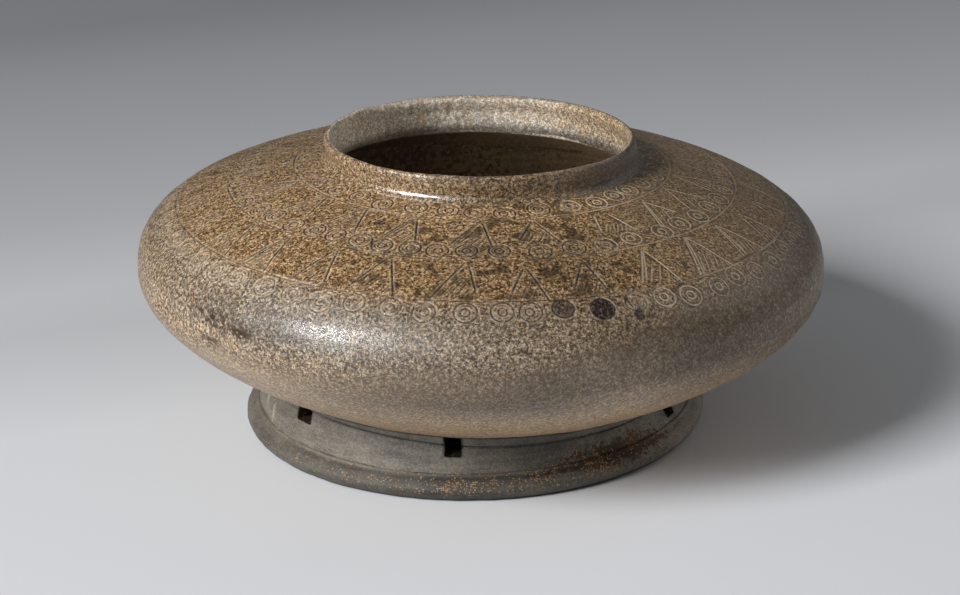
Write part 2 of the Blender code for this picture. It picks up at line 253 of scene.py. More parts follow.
def smooth_profile(corners: list[tuple[float, float]], step: float) -> Profile:
    """Draws a smooth outline through corners, with its outer side on the left.

    Args:
        corners: Radius and height of each corner.
        step: Greatest distance between the points.

    Returns:
        The outline's points, from the first corner to the last.
    """
    knots = np.array(corners)
    knots = np.vstack([2 * knots[0] - knots[1], knots, 2 * knots[-1] - knots[-2]])
    t = np.linspace(0.0, 1.0, 24, endpoint=False)[:, None]
    runs = [
        0.5 * (2 * b + (c - a) * t + (2 * a - 5 * b + 4 * c - d) * t**2 + (3 * b - a - 3 * c + d) * t**3)
        for a, b, c, d in zip(knots, knots[1:], knots[2:], knots[3:])
    ]
    curve = np.vstack([*runs, knots[-2:-1]])
    length = np.concatenate([[0.0], np.cumsum(np.hypot(*np.diff(curve, axis=0).T))])
    wanted = np.linspace(0.0, length[-1], max(1, math.ceil(length[-1] / step)) + 1)
    radius, height = (np.interp(wanted, length, part) for part in curve.T)
    tangent_r, tangent_h = (np.gradient(part, wanted) for part in (radius, height))
    size = np.hypot(tangent_r, tangent_h)
    return [
        ProfilePoint(r, h, -th / s, tr / s, w, Tread.SKIN)
        for r, h, tr, th, s, w in zip(radius, height, tangent_r, tangent_h, size, wanted)
    ]


def hidden(radius: float, height: float) -> ProfilePoint:
    """Returns a plain profile point on a side that is joined to other clay."""
    return ProfilePoint(radius, height)


def beneath(point: ProfilePoint, depth: float, side: Tread = Tread.INSIDE) -> ProfilePoint:
    """Returns the point on a wall's other face, straight through from a point."""
    radius, height = point.radius - point.out * depth, point.height - point.up * depth
    return ProfilePoint(radius, height, -point.out, -point.up, point.along, side)


def in_metres(corners: Pairs) -> list[tuple[float, float]]:
    """Returns corners that are given in millimetres."""
    return [(radius * MM, height * MM) for radius, height in corners]


def mesh_of(form: bmesh.types.BMesh, name: str) -> bpy.types.Mesh:
    """Returns a mesh of a form, which is freed.

    Args:
        form: The form.
        name: Name of the mesh.

    Returns:
        The mesh.
    """
    mesh = bpy.data.meshes.new(name)
    form.to_mesh(mesh)
    form.free()
    return mesh


def placed(name: str, data: bpy.types.ID) -> bpy.types.Object:
    """Returns a new object in the scene.

    Args:
        name: Its name.
        data: Its mesh, lamp or camera.

    Returns:
        The object.
    """
    thing = bpy.data.objects.new(name, data)
    bpy.context.scene.collection.objects.link(thing)
    return thing


def smooth_shaded(mesh: bpy.types.Mesh, angle: float) -> None:
    """Shades a mesh smooth, but for edges that are sharper than an angle in degrees."""
    mesh.polygons.foreach_set("use_smooth", [True] * len(mesh.polygons))
    mesh.set_sharp_from_angle(angle=math.radians(angle))


class Skin:
    """A turned form that relief and tones are laid on before it becomes a piece."""

    FIELDS = ("out", "up", "along", "skin")
    MOST_WEDGES = 36
    MERGED_WITHIN = 0.004 * MM

    def __init__(self, name: str, profile: Profile, steps: int, closed: bool = True) -> None:
        """Turns a profile round the axis.

        Args:
            name: Name of the piece.
            profile: Outline, in order round its cross-section.
            steps: How many steps make a full turn.
            closed: Whether the outline's last point joins its first.
        """
        form = bmesh.new()
        layers = [form.verts.layers.float.new(field) for field in self.FIELDS]
        corners = []
        for point in profile:
            corner = form.verts.new((0.0, -point.radius, point.height))
            facts = (point.out, point.up, point.along, point.skin.value)
            for layer, fact in zip(layers, facts):
                corner[layer] = fact
            corners.append(corner)
        followers = corners[1:] + corners[:1] if closed else corners[1:]
        for pair in zip(corners, followers):
            form.edges.new(pair)
        wedges = next(count for count in range(self.MOST_WEDGES, 0, -1) if steps % count == 0)
        axis = {"axis": (0.0, 0.0, 1.0), "cent": (0.0, 0.0, 0.0)}
        drawn = [*form.verts, *form.edges]
        bmesh.ops.spin(form, geom=drawn, angle=math.tau / wedges, steps=steps // wedges, **axis)
        drawn = [*form.verts, *form.edges, *form.faces]
        rest = math.tau * (wedges - 1) / wedges
        bmesh.ops.spin(form, geom=drawn, angle=rest, steps=wedges - 1, use_duplicate=True, **axis)
        bmesh.ops.remove_doubles(form, verts=form.verts, dist=self.MERGED_WITHIN)
        bmesh.ops.recalc_face_normals(form, faces=form.faces)
        self.name, self.mesh = name, mesh_of(form, name)
        self.place = self._read(self.mesh.vertices, "co", 3).reshape(-1, 3)
        self.out, self.up, self.along, self.on_skin = map(self._taken, self.FIELDS)
        self.radius = np.hypot(self.place[:, 0], self.place[:, 1])
        self.azimuth = np.degrees(np.arctan2(self.place[:, 0], -self.place[:, 1]))

    def _read(self, source: bpy.types.bpy_prop_collection, what: str, width: int = 1) -> Array:
        """Reads a property of every vertex.

        Args:
            source: Vertices, or the data of a layer.
            what: Name of the property.
            width: How many numbers it has.

        Returns:
            All its numbers, in one row.
        """
        values = np.zeros(len(source) * width, np.float32)
        source.foreach_get(what, values)
        return values.astype(float)

    def _taken(self, field: str) -> Array:
        """Reads and removes a layer that the turning carried along.

        Args:
            field: Name of the layer.

        Returns:
            Its value at every vertex.
        """
        values = self._read(self.mesh.attributes[field].data, "value")
        self.mesh.attributes.remove(self.mesh.attributes[field])
        return values

    def raise_by(self, height: Array) -> None:
        """Moves the skin out along its normal by a height, or in where it is negative.

        Args:
            height: Height at every vertex.
        """
        turn = np.radians(self.azimuth)
        lift = height * self.on_skin
        self.place[:, 0] += lift * self.out * np.sin(turn)
        self.place[:, 1] -= lift * self.out * np.cos(turn)
        self.place[:, 2] += lift * self.up

    def tones(self, **fields: Array | float) -> None:
        """Keeps fields at every vertex for the material to read.

        Args:
            **fields: Values by the name of their field.
        """
        for name, value in fields.items():
            spread = np.broadcast_to(value, self.radius.shape)
            layer = self.mesh.attributes.new(name, "FLOAT", "POINT")
            layer.data.foreach_set("value", np.ascontiguousarray(spread, np.float32))

    def finish(self, place: Matrix, material: bpy.types.Material) -> bpy.types.Object:
        """Makes the piece.

        Args:
            place: Where the turned form's own axis stands.
            material: The piece's finish.

        Returns:
            The piece, in the scene and riding on the jar.
        """
        self.mesh.vertices.foreach_set("co", self.place.astype(np.float32).ravel())
        self.mesh.transform(place)
        smooth_shaded(self.mesh, 75.0)
        self.mesh.materials.append(material)
        self.mesh.update()
        piece = placed(self.name, self.mesh)
        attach(piece, "root")
        LOG.info("%s: %d faces", self.name, len(self.mesh.polygons))
        return piece


# Ornament


@dataclass(frozen=True)
class Stamp:
    """A double circle pressed into the shoulder with a round tool.

    Attributes:
        azimuth: Its middle's azimuth.
        radius: Its middle's distance from the axis.
        size: Radius of its outer circle.
        depth: How deep it is pressed.
        shift: How far the inner circle is off the middle, round the axis.
        pooled: How far dark glaze fills it, from 0 to 1.
    """

    azimuth: float
    radius: float
    size: float
    depth: float
    shift: float = 0.0
    pooled: float = 0.0


@dataclass(frozen=True)
class Stroke:
    """A straight line cut into the shoulder with a point.

    Attributes:
        start: Azimuth and radius of its first end.
        end: Azimuth and radius of its other end.
        depth: How deep it is cut.
        width: How far its sides spread.
    """

    start: tuple[float, float]
    end: tuple[float, float]
    depth: float = 0.30 * MM
    width: float = 0.205 * MM


@dataclass(frozen=True)
class Triangle:
    """A hatched triangle, cut freehand between two turned lines.

    Attributes:
        apex: Azimuth and radius of its top.
        left: Azimuth and radius of its left foot.
        right: Azimuth and radius of its right foot.
        hatches: How many short strokes fill it, parallel to its left side.
        doubled: Whether its left side was cut twice.
        gap: How far its sides stand apart at the top, in degrees.
    """

    apex: tuple[float, float]
    left: tuple[float, float]
    right: tuple[float, float]
    hatches: int = 5
    doubled: bool = False
    gap: float = 0.3

    def _stroke(self, start: Array, end: Array, *sizes: float) -> Stroke:
        """Returns a stroke between places in degrees and millimetres."""
        return Stroke((start[0], start[1] * MM), (end[0], end[1] * MM), *sizes)

    def strokes(self, chance: np.random.Generator) -> list[Stroke]:
        """Returns the triangle's strokes.

        Args:
            chance: Source of the small differences between strokes.

        Returns:
            Its two sides, then its hatches.
        """
        apex, left, right = (np.array(place) for place in (self.apex, self.left, self.right))
        nudge = np.array([self.gap, 0.0])
        made = [self._stroke(apex - nudge, left), self._stroke(apex + nudge, right, 0.32 * MM)]
        if self.doubled:
            beside = np.array([0.9, 0.0])
            made.append(self._stroke(apex + nudge / 3, left + beside, 0.26 * MM))
        for number in range(self.hatches):
            share = (number + 1.0) / (self.hatches + 0.6)
            foot = left + (right - left) * share
            reach = (1.0 - share) * chance.uniform(0.62, 0.9)
            head = foot + (apex - left) * min(reach, chance.uniform(0.42, 0.6))
            foot = foot + (apex - left) * chance.uniform(-0.02, 0.05)
            made.append(self._stroke(head, foot, chance.uniform(0.2, 0.32) * MM, 0.16 * MM))
        return made


@dataclass(frozen=True)
class TurnedLine:
    """A line cut round the shoulder on the wheel.

    Attributes:
        radius: Its distance from the axis.
        depth: How deep it is cut.
        wander: How far it strays.
        seed: Picks how it strays.
    """

    radius: float
    depth: float
    wander: float
    seed: int


@dataclass(frozen=True)
class Row:
    """A row of stamps round the shoulder.

    Attributes:
        radius: The row's distance from the axis.
        size: Radius of a stamp's outer circle.
        seen: Azimuths of the stamps that the front shows.
        step: Degrees from stamp to stamp elsewhere.
        pooled: Azimuths of the stamps that dark glaze fills, and how far it does.
    """

    radius: float
    size: float
    seen: tuple[float, ...]
    step: float
    pooled: tuple[tuple[float, float], ...] = ()

    def stamps(self, chance: np.random.Generator) -> list[Stamp]:
        """Returns the row's stamps, the unseen ones spaced by rule.

        Args:
            chance: Source of the unseen stamps' unevenness.

        Returns:
            The stamps.
        """
        places = list(self.seen)
        room = 360.0 - (self.seen[-1] - self.seen[0])
        count = round(room / self.step) - 1
        for number in range(1, count + 1):
            share = number / (count + 1)
            places.append(self.seen[-1] + room * share + chance.uniform(-0.5, 0.5))
        return [
            Stamp(
                azimuth,
                self.radius + chance.uniform(-0.7, 0.7) * MM,
                self.size * chance.uniform(0.94, 1.06),
                chance.uniform(0.26, 0.38) * MM,
                chance.uniform(-0.3, 0.3) * MM,
                dict(self.pooled).get(azimuth, 0.0),
            )
            for azimuth in places
        ]


@dataclass(frozen=True)
class Drop:
    """A dark drop or run of glaze.

    Attributes:
        azimuth: Its middle's azimuth.
        radius: Its middle's distance from the axis.
        width: Half its width.
        length: Half its length down the shoulder.
        strength: How dark it is, from 0 to 1.
    """

    azimuth: float
    radius: float
    width: float
    length: float
    strength: float = 0.8


class Marks:
    """What the ornament does at every vertex of a skin on the shoulder's curve."""

    NEAR = 6.0 * MM
    FULL_TONE = 0.28 * MM

    def __init__(self, skin: Skin) -> None:
        """Starts without a mark.

        Args:
            skin: The skin that is marked.
        """
        self.skin = skin
        self.cut, self.line, self.edge, self.pool = np.zeros((4, len(skin.radius)))
        self.low, self.high = skin.radius.min() - self.NEAR, skin.radius.max() + self.NEAR
        lengths = SHOULDER_CURVE.points(40 * MM, BODY_RADIUS, 0.25 * MM)
        self.table = ([p.radius for p in lengths], [p.along for p in lengths])

    def along(self, radius: float) -> float:
        """Returns the length along the shoulder from the widest line up to a radius."""
        return np.interp(radius, *self.table)

    def groove(self, near: Array, depth: Array | float, away: Array, width: float, tone: float) -> None:
        """Presses a groove, with a burr pushed up along its sides.

        Args:
            near: Indices of the vertices that may feel it.
            depth: Its depth.
            away: Distance from its middle, at those vertices.
            width: How far its sides spread.
            tone: How strongly its colour shows.
        """
        depth = depth * np.ones(len(away))
        form = bump(away, width)
        tone = tone * np.clip(depth / self.FULL_TONE, 0.0, 1.0)
        core = np.clip(1.9 * form - 0.12, 0.0, 1.0)
        burr = np.clip(1.5 * bump(np.abs(away) - 2.3 * width, width), 0.0, 1.0)
        self.cut[near] = np.maximum(self.cut[near], depth * form)
        self.line[near] = np.maximum(self.line[near], tone * core)
        self.edge[near] = np.maximum(self.edge[near], tone * burr)

    def stamp(self, stamp: Stamp, inner_share: float, width: float) -> None:
        """Presses a double circle.

        Args:
            stamp: The double circle.
            inner_share: Its inner circle's radius as a share of the outer one's.
            width: How far the circles' sides spread.
        """
        if not self.low < stamp.radius < self.high:
            return
        turn = shortest_turn(self.skin.azimuth, stamp.azimuth)
        beside = np.abs(self.skin.radius - stamp.radius) < self.NEAR
        near = np.flatnonzero((np.abs(turn) < 7.0) & beside)
        across = np.radians(turn[near]) * stamp.radius
        down = self.along(stamp.radius) - self.skin.along[near]
        reach = np.hypot(across, down)
        inner = np.hypot(across - stamp.shift, down) - stamp.size * inner_share
        for away in (reach - stamp.size, inner):
            self.groove(near, stamp.depth, away, width, 0.95)
        dish = 0.25 * np.clip(1.0 - reach / stamp.size, 0.0, 1.0)
        self.cut[near] = np.maximum(self.cut[near], stamp.depth * dish)
        full = smoothstep(reach / stamp.size, 1.16, 0.92)
        self.pool[near] = np.maximum(self.pool[near], stamp.pooled * full)

    def stroke(self, stroke: Stroke) -> None:
        """Cuts a straight line, shallower at its ends.

        Args:
            stroke: The line.
        """
        ends = (stroke.start, stroke.end)
        (first, top), (last, bottom) = ends
        if max(top, bottom) < self.low or min(top, bottom) > self.high:
            return
        middle = (first + last) / 2
        turn = shortest_turn(self.skin.azimuth, middle)
        near = np.flatnonzero(np.abs(turn) < abs(first - last) / 2 + 2.0)
        across = np.radians(turn[near]) * self.skin.radius[near]
        a, b = (np.array([math.radians(az - middle) * r, self.along(r)]) for az, r in ends)
        run = b - a
        offset_x, offset_y = across - a[0], self.skin.along[near] - a[1]
        share = np.clip((offset_x * run[0] + offset_y * run[1]) / (run @ run), 0.0, 1.0)
        away = np.hypot(offset_x - share * run[0], offset_y - share * run[1])
        taper = 0.5 + 0.5 * np.sin(np.pi * np.clip(share, 0.05, 0.95))
        self.groove(near, stroke.depth * taper, away, stroke.width, 1.0)

    def turned(self, line: TurnedLine) -> None:
        """Cuts a turned line, which fades and strays a little.

        Args:
            line: The line.
        """
        if not self.low < line.radius < self.high:
            return
        azimuth = self.skin.azimuth
        stray = line.wander * waves(azimuth, line.seed, 6)
        fade = np.clip(0.7 + 0.4 * waves(azimuth, line.seed + 20, 9, 5), 0.2, 1.0)
        away = self.skin.along - self.along(line.radius) - stray
        self.groove(np.arange(len(away)), line.depth * fade, away, 0.18 * MM, 0.9)

    def drop(self, drop: Drop) -> None:
        """Lets a dark drop of glaze stand, with a ragged edge.

        Args:
            drop: The drop.
        """
        across = np.radians(shortest_turn(self.skin.azimuth, drop.azimuth)) * drop.radius
        down = self.along(drop.radius) - self.skin.along
        reach = np.hypot(across / drop.width, down / drop.length)
        ragged = reach + 0.35 * lattice_noise(self.skin.place, 0.8 * MM, 13)
        self.pool = np.maximum(self.pool, drop.strength * smoothstep(ragged, 1.15, 0.75))


@dataclass(frozen=True)
class Ornament:
    """Everything cut and pressed into the shoulder.

    Attributes:
        rows: The rows of stamps.
        lines: The turned lines.
        upper: The triangles seen between the first two lines.
        lower: The triangles seen between the last two lines.
        upper_step: Degrees from triangle to triangle elsewhere, between the first two.
        lower_step: Degrees from triangle to triangle elsewhere, between the last two.
        inner_share: An inner circle's radius as a share of the outer one's.
        circle_width: How far a pressed circle's sides spread.
        drops: The dark drops of glaze beside the stamps.
    """

    rows: tuple[Row, ...] = (
        Row(
            50.3 * MM,
            3.0 * MM,
            (-53.5, -43.4, -33.2, -21.7, -11.2, -2.8, 6.4, 17.6, 28.2, 37.9, 46.7, 54.2),
            9.6,
        ),
        Row(
            69.9 * MM,
            3.05 * MM,
            (-48.0, -41.6, -35.5, -28.7, -23.2, -16.6, -10.4, -4.0, 3.3, 12.3, 20.2, 27.6)
            + (34.8, 44.0, 51.0, 58.5),
            7.2,
        ),
        Row(
            92.0 * MM,
            3.08 * MM,
            (-46.0, -39.6, -33.6, -27.8, -22.0, -15.7, -10.0, -3.2, 2.8, 7.5, 12.9, 19.5)
            + (25.8, 31.3, 36.3, 42.9, 48.0, 53.7, 60.1),
            6.1,
            ((12.9, 0.72), (19.5, 1.0)),
        ),
    )
    lines: tuple[TurnedLine, ...] = (
        TurnedLine(54.5 * MM, 0.30 * MM, 0.12 * MM, 3),
        TurnedLine(73.6 * MM, 0.24 * MM, 0.20 * MM, 4),
        TurnedLine(88.7 * MM, 0.26 * MM, 0.22 * MM, 5),
    )
    upper: tuple[Triangle, ...] = (
        Triangle((-52.5, 54.8), (-57.0, 65.5), (-48.0, 66.0), 4),
        Triangle((-36.0, 54.6), (-41.5, 65.5), (-32.0, 66.5), 5),
        Triangle((-19.5, 55.8), (-24.8, 66.0), (-16.0, 67.6), 5, True, 0.6),
        Triangle((-1.0, 55.2), (-8.3, 67.3), (1.8, 67.4), 6, True),
        Triangle((13.7, 55.8), (8.1, 65.4), (18.2, 68.0), 4),
        Triangle((34.0, 57.5), (29.4, 65.0), (38.4, 67.0), 8, False, 2.4),
        Triangle((51.4, 56.8), (45.4, 68.6), (55.0, 65.5), 3, True),
        Triangle((66.0, 56.5), (59.8, 67.2), (70.0, 67.0), 3),
        Triangle((80.0, 55.5), (76.3, 67.4), (84.0, 66.5), 4),
    )
    lower: tuple[Triangle, ...] = (
        Triangle((-57.0, 75.5), (-60.5, 87.5), (-53.5, 88.0), 5),
        Triangle((-44.8, 75.0), (-48.2, 87.6), (-42.2, 88.2), 5, True),
        Triangle((-31.8, 75.2), (-35.6, 88.0), (-29.0, 88.6), 4),
        Triangle((-19.6, 74.8), (-24.6, 87.6), (-15.8, 88.8), 5),
        Triangle((-3.7, 74.4), (-9.4, 88.2), (-1.6, 86.4), 5),
        Triangle((7.9, 77.0), (4.2, 87.6), (11.0, 89.2), 3),
        Triangle((20.0, 76.5), (15.8, 86.2), (22.0, 88.6), 3),
        Triangle((34.3, 75.7), (28.9, 86.6), (36.6, 88.8), 4, True),
        Triangle((46.9, 75.1), (41.2, 88.2), (49.6, 88.2), 6, True),
        Triangle((58.4, 75.6), (54.4, 87.8), (61.0, 88.3), 6, True),
        Triangle((68.9, 77.0), (64.6, 88.0), (70.6, 88.2), 5),
        Triangle((79.5, 78.0), (76.2, 88.0), (82.6, 88.2), 5),
    )
    upper_step: float = 17.0
    lower_step: float = 12.2
    inner_share: float = 0.40
    circle_width: float = 0.19 * MM
    drops: tuple[Drop, ...] = (
        Drop(-28.2, 60.4 * MM, 1.5 * MM, 1.2 * MM, 0.9),
        Drop(-24.5, 62.5 * MM, 0.7 * MM, 0.9 * MM, 0.7),
        Drop(24.3, 90.9 * MM, 0.8 * MM, 0.9 * MM, 0.9),
        Drop(25.4, 94.6 * MM, 1.5 * MM, 1.9 * MM, 0.8),
        Drop(22.8, 95.6 * MM, 0.8 * MM, 1.1 * MM, 0.5),
        Drop(-21.0, 73.0 * MM, 1.2 * MM, 0.9 * MM, 0.6),
    )

    def _filled(
        self, seen: tuple[Triangle, ...], step: float, chance: np.random.Generator
    ) -> list[Triangle]:
        """Returns the seen triangles, and others of their kind round the unseen side.

        Args:
            seen: Triangles of one kind, as they were read.
            step: Degrees between neighbours round the unseen side.
            chance: Source of their unevenness.

        Returns:
            All triangles of the kind.
        """
        first, last = seen[0].apex[0], seen[-1].apex[0]
        room = 360.0 - (last - first)
        count = round(room / step) - 1
        made = list(seen)
        for number in range(1, count + 1):
            middle = last + room * number / (count + 1) + chance.uniform(-1.0, 1.0)
            model = seen[number % len(seen)]
            turn = np.array([middle - model.apex[0], 0.0])
            apex, left, right = (
                tuple(np.array(place) + turn) for place in (model.apex, model.left, model.right)
            )
            made.append(Triangle(apex, left, right, model.hatches, model.doubled, model.gap))
        return made

    def stamps(self) -> list[Stamp]:
        """Returns every stamp."""
        chance = np.random.default_rng(11)
        return [stamp for row in self.rows for stamp in row.stamps(chance)]

    def strokes(self) -> list[Stroke]:
        """Returns every stroke.

        Returns:
            The strokes of all triangles.
        """
        chance = np.random.default_rng(12)
        upper = self._filled(self.upper, self.upper_step, chance)
        triangles = upper + self._filled(self.lower, self.lower_step, chance)
        return [stroke for triangle in triangles for stroke in triangle.strokes(chance)]

    def carve(self, skin: Skin) -> Marks:
        """Returns the marks that the ornament leaves on a skin of the shoulder.

        Args:
            skin: The skin.

        Returns:
            The marks.
        """
        marks = Marks(skin)
        for stamp in self.stamps():
            marks.stamp(stamp, self.inner_share, self.circle_width)
        for stroke in self.strokes():
            marks.stroke(stroke)
        for line in self.lines:
            marks.turned(line)
        for drop in self.drops:
            marks.drop(drop)
        return marks


# Finishes


class Recipe:
    """A material's node tree, drawn up a few words a node."""

    def __init__(self, name: str) -> None:
        """Starts a Principled material with a name.

        Args:
            name: Name of the material.
        """
        self.material = bpy.data.materials.new(name)
        self.material.use_nodes = True
        self.tree = self.material.node_tree
        self.shader = self.tree.nodes["Principled BSDF"]

    def feed(self, node: bpy.types.Node, feeds: dict[str | int, object]) -> None:
        """Links sockets to a node's inputs, or sets plain values on them.

        Args:
            node: The node.
            feeds: What each input is fed, by its name or number.
        """
        for name, value in feeds.items():
            if isinstance(value, Socket):
                self.tree.links.new(value, node.inputs[name])
            else:
                node.inputs[name].default_value = value

    def node(self, kind: str, feeds: dict[str | int, object], **settings: object) -> bpy.types.Node:
        """Adds a node.

        Args:
            kind: What follows ShaderNode in the name of its type.
            feeds: What each input is fed, by its name or number.
            settings: The node's settings.

        Returns:
            The node.
        """
        made = self.tree.nodes.new(f"ShaderNode{kind}")
        for name, value in settings.items():
            setattr(made, name, value)
        self.feed(made, feeds)
        return made

    def space(self, stretch: tuple[float, float, float] = (1.0, 1.0, 1.0)) -> Socket:
        """Returns object coordinates, stretched along each axis."""
        source = self.node("TexCoord", {}).outputs["Object"]
        return self.node("Mapping", {"Vector": source, "Scale": stretch}).outputs["Vector"]

    def field(self, name: str) -> Socket:
        """Returns a value that the piece keeps at its vertices."""
        return self.node("Attribute", {}, attribute_name=name).outputs["Fac"]

    def noise(self, space: Socket, size: float, detail: float = 2.0, rough: float = 0.5) -> Socket:
        """Returns noise whose features are about a size across."""
        feeds = {"Vector": space, "Scale": 1.0 / size, "Detail": detail, "Roughness": rough}
        return self.node("TexNoise", feeds).outputs["Fac"]

    def grains(self, space: Socket, size: float) -> tuple[Socket, Socket]:
        """Returns each grain's distance from its middle, and its chance value.

        Args:
            space: Coordinates.
            size: Size of a grain.

        Returns:
            Distance and chance value.
        """
        made = self.node("TexVoronoi", {"Vector": space, "Scale": 1.0 / size})
        split = self.node("SeparateColor", {"Color": made.outputs["Color"]})
        return made.outputs["Distance"], split.outputs["Red"]

    def calc(self, work: str, *values: object, clamp: bool = True) -> Socket:
        """Returns a sum, product or other calculation, kept between 0 and 1 by a clamp."""
        feeds = dict(enumerate((*values, 0.0, 0.0)[:3]))
        return self.node("Math", feeds, operation=work, use_clamp=clamp).outputs["Value"]

    def times(self, first: object, second: object) -> Socket:
        """Returns a product, kept between 0 and 1."""
        return self.calc("MULTIPLY", first, second)

    def span(self, value: Socket, low: float, high: float, top: float = 1.0) -> Socket:
        """Returns 0 where a value is at its low end, rising smoothly to top at its high end."""
        feeds = {"Value": value, "From Min": low, "From Max": high, "To Max": top}
        return self.node("MapRange", feeds, interpolation_type="SMOOTHSTEP").outputs["Result"]

    def mapped(self, value: Socket, **ends: object) -> Socket:
        """Returns a value moved evenly to other ends, such as to_min and to_max."""
        feeds = {name.replace("_", " ").title(): end for name, end in ends.items()}
        return self.node("MapRange", {"Value": value} | feeds).outputs["Result"]

    def ramp(self, value: Socket, stops: "ColorStops") -> Socket:
        """Returns the colour that a value picks from stops of (place, colour).

        Args:
            value: The value.
            stops: The stops, in order.

        Returns:
            The colour.
        """
        made = self.node("ValToRGB", {"Fac": value})
        band = made.color_ramp
        while len(band.elements) < len(stops):
            band.elements.new(1.0)
        for element, (place, color) in zip(band.elements, stops):
            element.position = place
            element.color = color.linear()
        return made.outputs["Color"]

    def mix(self, share: object, first: object, second: object, blend: str = "MIX") -> Socket:
        """Returns a mix of two colours.

        Args:
            share: How much of the second shows.
            first: First colour.
            second: Second colour.
            blend: How they blend.

        Returns:
            The mixed colour.
        """
        colors = (v.linear() if isinstance(v, Color) else v for v in (first, second))
        feeds = {"Factor": share} | dict(zip((6, 7), colors))
        return self.node("Mix", feeds, data_type="RGBA", blend_type=blend).outputs[2]

    def times_tone_and_painted_light(self, color: Socket) -> Socket:
        """Returns a colour made lighter or darker by the piece's field light, which is painted light and
        shade together with the material's own tone.

        Args:
            color: The colour.

        Returns:
            The changed colour.
        """
        feeds = dict.fromkeys(("Red", "Green", "Blue"), self.field("light"))
        shade = self.node("CombineColor", feeds).outputs["Color"]
        return self.mix(1.0, color, shade, "MULTIPLY")

    def relief(self, height: Socket, depth: float, strength: object, *under: Socket) -> Socket:
        """Returns a normal that is bumped by a height, on top of one under it."""
        feeds = {"Height": height, "Distance": depth, "Strength": strength}
        return self.node("Bump", feeds | {"Normal": normal for normal in under}).outputs["Normal"]

    def surface(self, feeds: dict[str, object]) -> bpy.types.Material:
        """Returns the material, with its shader fed."""
        self.feed(self.shader, feeds)
        return self.material


@dataclass(frozen=True)
class Color:
    """A colour as a screen shows it, each part from 0 to 255."""

    red: float
    green: float
    blue: float

    def linear(self) -> tuple[float, float, float, float]:
        """Returns the colour as light, with full alpha.

        Returns:
            Red, green, blue and alpha.
        """
        parts = (part / 255 for part in (self.red, self.green, self.blue))
        light = (p / 12.92 if p <= 0.04045 else ((p + 0.055) / 1.055) ** 2.4 for p in parts)
        return (*light, 1.0)

    def times(self, share: float) -> "Color":
        """Returns the colour made lighter or darker."""
        return Color(self.red * share, self.green * share, self.blue * share)


ColorStops = tuple[tuple[float, Color], ...]


